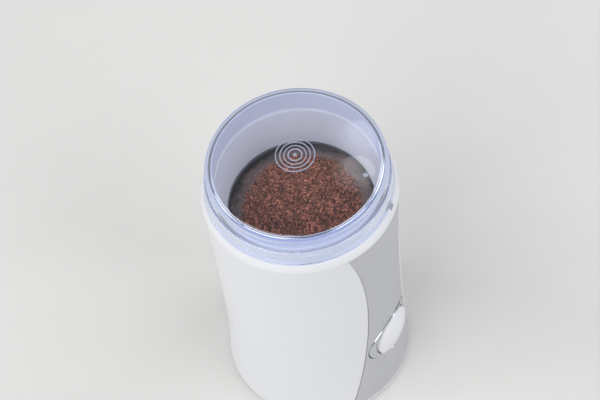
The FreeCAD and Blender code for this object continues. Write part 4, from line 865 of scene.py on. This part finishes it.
class GRINDER_OT_stage(GrinderOperator):
    """Pale floor, soft lights and the camera"""
    bl_idname = "grinder.stage"
    bl_label = "Floor, lights and camera"

    def soft_light(self, name, where, wide, power, tint, shape="SQUARE"):
        light = bpy.data.lights.new(name, "AREA")
        light.shape = shape
        light.size = wide
        light.energy = power
        light.color = tint
        lamp = new_object(name, light)
        lamp.location = where
        away = Vector(where) - Vector((0, 0, 0.12))
        lamp.rotation_euler = away.to_track_quat("Z", "Y").to_euler()
        lamp.visible_camera = False

    def camera(self):
        s = sizes("stage")
        eye = np.array(s.eye)
        back = unit(eye - np.array(s.aim))
        right = unit(np.cross((0, 0, 1), back))
        up = np.cross(back, right)
        c, d = math.cos(s.roll), math.sin(s.roll)
        axes = Matrix((right * c - up * d, right * d + up * c, back)).transposed()
        lens = bpy.data.cameras.new("studio_camera")
        lens.lens = s.focal_length
        lens.sensor_width = 36
        lens.clip_start = 0.01
        taker = new_object("studio_camera", lens)
        taker.matrix_world = Matrix.Translation(eye) @ axes.to_4x4()
        bpy.context.scene.camera = taker

    def build(self):
        s = sizes("stage")
        lines = 12
        reach = np.linspace(-2.2, 2.2, lines)
        x, y = np.meshgrid(reach, reach, indexing="ij")
        points = np.stack((x, y, np.zeros_like(x)), -1).reshape(-1, 3)
        mesh = bpy.data.meshes.new("floor")
        quads = grid_quads(lines, lines, False, False)[:, ::-1]
        mesh.from_pydata(points.tolist(), [], quads.tolist())
        floor = new_object("floor", mesh)
        shaded = [0.985 * v for v in s.floor_colour]
        floor.data.materials.append(mottled("floor_paper", s.floor_colour, shaded, (0.75, 0.85), 3,
                                            0.05))
        cool, fill = (0.98, 0.985, 1.0), s.fill_strength
        self.soft_light("key_light", (-1.5, 0.2, 1.6), 1.6, s.key_strength, (1.0, 0.99, 0.97))
        self.soft_light("front_light", (-0.1, -1.8, 1.4), 1.4, fill, cool)
        self.soft_light("back_light", (-0.95, 1.6, 1.5), 1.2, fill, cool)
        self.soft_light("side_light", (1.3, -1.0, 1.5), 1.1, 0.7 * fill, cool)
        for wide in (0.20, 0.26, 0.32):
            self.soft_light("round_light", (0.70, 0.025, 1.05 + wide), wide, s.round_strength / 3,
                            (1, 1, 1), "DISK")
        world = bpy.data.worlds.new("studio")
        world.use_nodes = True
        light = world.node_tree.nodes["Background"]
        light.inputs["Color"].default_value = (*s.world_colour, 1)
        light.inputs["Strength"].default_value = s.world_strength
        bpy.context.scene.world = world
        bpy.context.scene.view_settings.view_transform = "Standard"
        self.camera()


# Finishes
def add(tree, kind, values=(), **settings):
    """A shader node. Of its values, another node's output is linked and a plain value is set."""
    made = tree.nodes.new("ShaderNode" + kind)
    for key, value in settings.items():
        setattr(made, key, value)
    for key, value in dict(values).items():
        connect(tree, value, made.inputs[key])
    return made


def connect(tree, value, socket):
    if isinstance(value, bpy.types.NodeSocket):
        tree.links.new(value, socket)
    else:
        socket.default_value = value


def new_finish(name, **sockets):
    """A material with its shader's sockets set, and its node tree and shader."""
    material = bpy.data.materials.new(name)
    material.use_nodes = True
    shader = material.node_tree.nodes["Principled BSDF"]
    for key, value in sockets.items():
        shader.inputs[key.replace("_", " ")].default_value = value
    return material, material.node_tree, shader


def coordinates(tree, around=False, stretch=(1, 1, 1), shift=(0, 0, 0)):
    """The piece's own coordinates, stretched. Around the axis they are radius, 0 and height."""
    source = add(tree, "TexCoord").outputs["Object"]
    if around:
        parts = add(tree, "SeparateXYZ", {0: source}).outputs
        flat = add(tree, "CombineXYZ", {"X": parts["X"], "Y": parts["Y"]}).outputs[0]
        radius = add(tree, "VectorMath", {0: flat}, operation="LENGTH").outputs["Value"]
        source = add(tree, "CombineXYZ", {"X": radius, "Z": parts["Z"]}).outputs[0]
    mapping = {"Vector": source, "Location": shift, "Scale": stretch}
    return add(tree, "Mapping", mapping).outputs["Vector"]


def noise(tree, where, scale, detail=4.0):
    values = {"Vector": where, "Scale": scale, "Detail": detail, "Roughness": 0.6}
    return add(tree, "TexNoise", values).outputs["Fac"]


def spread_over(tree, value, low, high, source=(0.3, 0.7)):
    """The value carried from the range source to the range from low to high."""
    values = {"Value": value, "From Min": source[0], "From Max": source[1], "To Min": low,
              "To Max": high}
    return add(tree, "MapRange", values).outputs["Result"]


def worked(tree, operation, a, b, **settings):
    """Sum, product and so on of two values."""
    return add(tree, "Math", {0: a, 1: b}, operation=operation, **settings).outputs[0]


def blended(tree, value, low, high):
    """Low where the value is 0 and high where it is 1. Each is a colour or a node's output."""
    made = add(tree, "Mix", {"Factor": value}, data_type="RGBA")
    for key, end in (("A", low), ("B", high)):
        connect(tree, end if isinstance(end, bpy.types.NodeSocket) else (*end, 1), made.inputs[key])
    return made.outputs["Result"]


def raised(tree, shader, value, depth):
    bump = add(tree, "Bump", {"Height": value, "Strength": 0.6, "Distance": depth})
    connect(tree, bump.outputs["Normal"], shader.inputs["Normal"])


def mottled(name, low, high, rough, scale, depth, stretch=(1, 1, 1), around=False, fine=12,
            **sockets):
    """Two colours in soft patches, a finer pattern in the gloss, and a finer grain raised from
    the surface by depth in millimetres. Scale is the number of patches in 100 mm."""
    material, tree, shader = new_finish(name, **sockets)
    where = coordinates(tree, around, stretch)
    patches = noise(tree, where, scale * 10)
    connect(tree, blended(tree, spread_over(tree, patches, 0, 1), low, high),
            shader.inputs["Base Color"])
    grain = noise(tree, where, scale * fine * 10, 6)
    connect(tree, spread_over(tree, grain, *rough), shader.inputs["Roughness"])
    raised(tree, shader, grain, depth * MM)
    return material


def clear_plastic(name, tint, density, rough, rim_tint):
    """Clear plastic that colours light by how far it goes through it, and by rim_tint where it
    goes in or out at the shoulder. Light that comes from a lamp, off a rough surface or off a
    mirror goes straight through."""
    material, tree, shader = new_finish(name, Transmission_Weight=1.0, IOR=1.5)
    parts = add(tree, "SeparateXYZ", {0: coordinates(tree, True)}).outputs
    radii, heights = (38.9 * MM, 40.2 * MM), (158 * MM, 163 * MM)
    rim = worked(tree, "MULTIPLY", spread_over(tree, parts["X"], 0, 1, radii),
                 spread_over(tree, parts["Z"], 0, 1, heights))
    connect(tree, blended(tree, rim, (1, 1, 1), rim_tint), shader.inputs["Base Color"])
    wear = noise(tree, coordinates(tree), 60)
    connect(tree, spread_over(tree, wear, *rough), shader.inputs["Roughness"])
    out = tree.nodes["Material Output"].inputs
    depth = add(tree, "VolumeAbsorption", {"Color": (*tint, 1), "Density": density})
    connect(tree, depth.outputs["Volume"], out["Volume"])
    path = add(tree, "LightPath").outputs
    soft = worked(tree, "MAXIMUM", path["Is Shadow Ray"], path["Is Diffuse Ray"])
    mirrored = worked(tree, "SUBTRACT", path["Is Glossy Ray"], path["Is Transmission Ray"],
                      use_clamp=True)
    straight = add(tree, "BsdfTransparent", {"Color": (0.99, 0.99, 1.0, 1)}).outputs[0]
    both = {0: worked(tree, "MAXIMUM", soft, mirrored), 1: shader.outputs[0], 2: straight}
    connect(tree, add(tree, "MixShader", both).outputs[0], out["Surface"])
    return material


def sheet_steel(name, low, high, inside, outside, edge, satin, painted_lid_tint=None):
    """Drawn steel with fine rings, satin inside the radius edge and polished outside it. Satin
    is how much of the light there is mirrored as metal does. The last colour is painted light:
    a pale bluish tint over the steel above the step, standing for the lid's rim in front of it."""
    material, tree, shader = new_finish(name)
    where = coordinates(tree, True)
    rings = noise(tree, where, 900, 3)
    cloud = noise(tree, coordinates(tree), 45)
    tone = blended(tree, spread_over(tree, cloud, 0, 1), low, high)
    parts = add(tree, "SeparateXYZ", {0: where}).outputs
    # Painted light: above the step the steel takes a pale bluish tint for the lid's rim seen in
    # front of it.
    if painted_lid_tint:
        above = spread_over(tree, parts["Z"], 0, 1, (CUP_STEP - 0.2 * MM, CUP_STEP + 0.2 * MM))
        tone = blended(tree, above, tone, painted_lid_tint)
    connect(tree, tone, shader.inputs["Base Color"])
    step = (edge - 0.1 * MM, edge + 0.1 * MM)
    connect(tree, spread_over(tree, parts["X"], satin, 1.0, step), shader.inputs["Metallic"])
    rough = worked(tree, "MULTIPLY", spread_over(tree, parts["X"], inside, outside, step),
                   spread_over(tree, rings, 0.85, 1.15))
    connect(tree, rough, shader.inputs["Roughness"])
    raised(tree, shader, rings, 0.002 * MM)
    return material


def coffee(name, dark, light, scale, dust_and_shade=(), shades=None):
    """Ground coffee: each grain has its own shade, read from the attribute shades or else from
    cells of the pattern. The colours laid over it from one distance off the heap's middle to
    another, in millimetres, are coffee dust and painted shade: ground_coffee's second one is
    painted shade."""
    material, tree, shader = new_finish(name, Specular_IOR_Level=0.35)
    where = coordinates(tree)
    cells = add(tree, "TexVoronoi", {"Vector": where, "Scale": scale}).outputs
    if shades:
        shade = add(tree, "Attribute", attribute_name=shades).outputs["Fac"]
    else:
        shade = add(tree, "SeparateColor", {0: cells["Color"]}).outputs[0]
    tone = blended(tree, shade, dark, light)
    if dust_and_shade:
        flat = coordinates(tree, False, (1, 1, 0), (-GRAINS_MIDDLE[0], -GRAINS_MIDDLE[1], 0))
        away = add(tree, "VectorMath", {0: flat}, operation="LENGTH").outputs["Value"]
        ragged = worked(tree, "ADD", away,
                        spread_over(tree, noise(tree, where, 90), -3 * MM, 3 * MM))
        for over, start, end in dust_and_shade:
            share = spread_over(tree, ragged, 0, 1, (start * MM, end * MM))
            tone = blended(tree, share, tone, over)
    connect(tree, tone, shader.inputs["Base Color"])
    rough = spread_over(tree, noise(tree, where, scale * 2), 0.5, 0.8)
    connect(tree, rough, shader.inputs["Roughness"])
    raised(tree, shader, cells["Distance"], 0.3 * MM)
    return material


def finish(slot):
    """The finish of a material slot, made once."""
    if slot not in made_finishes:
        made_finishes[slot] = FINISHES[slot](slot)
    return made_finishes[slot]


def plastic(low, high, rough, scale=3, depth=0.01, **more):
    return lambda name: mottled(name, low, high, rough, scale, depth, **more)


def metal(low, high, rough, scale=6, depth=0.01, **more):
    return lambda name: mottled(name, low, high, rough, scale, depth, Metallic=1.0, **more)


FINISHES = {
    "clear_lid": lambda name: clear_plastic(name, (0.12, 0.36, 0.96), 55.0, (0.0, 0.01),
                                            (0.76, 0.81, 1.0)),
    # Pale diffuse colour on the ring ridges: a frosted finish and a painted highlight together.
    "frosted_ridge_highlight": plastic((0.55, 0.59, 0.72), (0.64, 0.68, 0.81), (0.30, 0.45), 20, 0.004,
                             Transmission_Weight=0.5),
    "white_shell": plastic((0.75, 0.76, 0.785), (0.77, 0.78, 0.805), (0.30, 0.34), 1, 0.0,
                           fine=1.5),
    # Near-black bed under the panel: painted shade in the seams round the panel and bezel.
    "painted_seam_shade": plastic((0.012, 0.013, 0.015), (0.02, 0.021, 0.024), (0.6, 0.8), 10, 0.01),
    "grey_panel": plastic((0.485, 0.49, 0.515), (0.505, 0.51, 0.535), (0.36, 0.46), 4, 0.008,
                          fine=60),
    "bezel_silver": metal((0.56, 0.575, 0.61), (0.62, 0.635, 0.67), (0.12, 0.20), 5, 0.003),
    "button_white": plastic((0.775, 0.78, 0.815), (0.795, 0.805, 0.84), (0.14, 0.22), 3, 0.003,
                            Coat_Weight=0.3, Coat_Roughness=0.06),
    # The third colour is painted light above the step, standing for the lid's tinted rim.
    "cup_steel": lambda name: sheet_steel(name, (0.80, 0.80, 0.81), (0.85, 0.85, 0.86), 0.5, 0.06,
                                          38.2 * MM, 0.1, (0.86, 0.88, 0.96)),
    # The bowl's near-black colour is painted shade and a painted reflection of the dark coffee, not
    # the steel's own colour.
    "bowl_steel": lambda name: sheet_steel(name, (0.10, 0.095, 0.10), (0.15, 0.145, 0.15), 0.42,
                                           0.42, 60 * MM, 0.6),
    "blade_steel": metal((0.52, 0.52, 0.54), (0.62, 0.62, 0.64), (0.22, 0.38), 8, 0.004,
                         stretch=(1, 14, 1)),
    "plain_steel": metal((0.50, 0.50, 0.52), (0.58, 0.58, 0.60), (0.20, 0.34), 20, 0.003,
                         around=True),
    "zinc_steel": metal((0.55, 0.55, 0.54), (0.66, 0.66, 0.63), (0.28, 0.42), 12, 0.006),
    "laminations": metal((0.16, 0.16, 0.18), (0.30, 0.30, 0.33), (0.40, 0.60), 1, 0.05,
                         stretch=(1, 1, 30)),
    "copper": plastic((0.34, 0.10, 0.035), (0.52, 0.20, 0.08), (0.22, 0.36), 2, 0.12,
                      stretch=(1, 1, 22), Coat_Weight=0.6, Coat_Roughness=0.15),
    "bar_copper": metal((0.70, 0.34, 0.20), (0.84, 0.46, 0.30), (0.20, 0.40), 20, 0.005,
                        around=True),
    "carbon": plastic((0.015, 0.015, 0.016), (0.035, 0.035, 0.036), (0.55, 0.75), 30, 0.03),
    "brush_brass": metal((0.70, 0.50, 0.20), (0.80, 0.60, 0.28), (0.24, 0.40), 8, 0.008),
    "cast_aluminium": metal((0.52, 0.53, 0.54), (0.64, 0.65, 0.66), (0.42, 0.60), 15, 0.06),
    "grey_frame": plastic((0.095, 0.10, 0.11), (0.13, 0.135, 0.145), (0.45, 0.60), 8, 0.02),
    "black_plastic": plastic((0.012, 0.012, 0.014), (0.024, 0.024, 0.026), (0.40, 0.55), 10, 0.02),
    "fan_plastic": plastic((0.02, 0.02, 0.022), (0.04, 0.04, 0.042), (0.36, 0.50), 8, 0.01),
    "switch_black": plastic((0.015, 0.015, 0.015), (0.03, 0.03, 0.03), (0.32, 0.46), 10, 0.01),
    "plunger_red": plastic((0.36, 0.03, 0.02), (0.44, 0.05, 0.03), (0.30, 0.42), 10, 0.01),
    "soft_rubber": plastic((0.02, 0.02, 0.02), (0.04, 0.04, 0.04), (0.65, 0.85), 20, 0.04),
    "seal_rubber": plastic((0.14, 0.14, 0.145), (0.19, 0.19, 0.195), (0.50, 0.65), 20, 0.02),
    "terminal_white": plastic((0.62, 0.61, 0.55), (0.70, 0.69, 0.63), (0.35, 0.50), 10, 0.01),
    "capacitor_blue": plastic((0.03, 0.08, 0.26), (0.05, 0.11, 0.32), (0.16, 0.28), 6, 0.03,
                              Coat_Weight=0.4, Coat_Roughness=0.1),
    # Over the heap, the first colour is coffee dust. The second, near the wall, is painted shade
    # that darkens the coffee there.
    "ground_coffee": lambda name: coffee(name, (0.07, 0.023, 0.012), (0.27, 0.09, 0.05), 1300,
                                         dust_and_shade=(((0.25, 0.17, 0.145), 24, 29),
                                               ((0.085, 0.068, 0.065), 30, 35))),
    "coffee_grain": lambda name: coffee(name, (0.07, 0.021, 0.010), (0.95, 0.36, 0.21), 600,
                                        shades="shade"),
}

covered = set()
made_finishes = {}

GROUPS = {"body": GRINDER_PG_body, "panel": GRINDER_PG_panel, "button": GRINDER_PG_button,
          "lid": GRINDER_PG_lid, "cup": GRINDER_PG_cup, "fill": GRINDER_PG_fill,
          "stage": GRINDER_PG_stage}
OPERATORS = (GRINDER_OT_housing, GRINDER_OT_panel, GRINDER_OT_button, GRINDER_OT_collar,
             GRINDER_OT_cup, GRINDER_OT_lid, GRINDER_OT_base, GRINDER_OT_fill, GRINDER_OT_inner,
             GRINDER_OT_stage)


class GRINDER_PT_panel(bpy.types.Panel):
    """Sizes of the grinder's pieces and the buttons that build them"""
    bl_idname = "GRINDER_PT_panel"
    bl_label = "Spice grinder"
    bl_space_type = "VIEW_3D"
    bl_region_type = "UI"
    bl_category = "Grinder"

    def draw(self, context):
        for name, group in GROUPS.items():
            box = self.layout.box()
            box.label(text=name.capitalize())
            values = sizes(name)
            for key in group.__annotations__:
                box.prop(values, key)
        for operator in OPERATORS:
            self.layout.operator(operator.bl_idname)


def register():
    for item in (*GROUPS.values(), *OPERATORS, GRINDER_PT_panel):
        bpy.utils.register_class(item)
    for name, group in GROUPS.items():
        setattr(bpy.types.Scene, "grinder_" + name, PointerProperty(type=group))


def unregister():
    for name in GROUPS:
        delattr(bpy.types.Scene, "grinder_" + name)
    for item in (GRINDER_PT_panel, *reversed(OPERATORS), *GROUPS.values()):
        bpy.utils.unregister_class(item)


def main():
    register()
    for operator in OPERATORS:
        getattr(bpy.ops.grinder, operator.bl_idname.split(".")[1])()


if __name__ == "__main__":
    main()
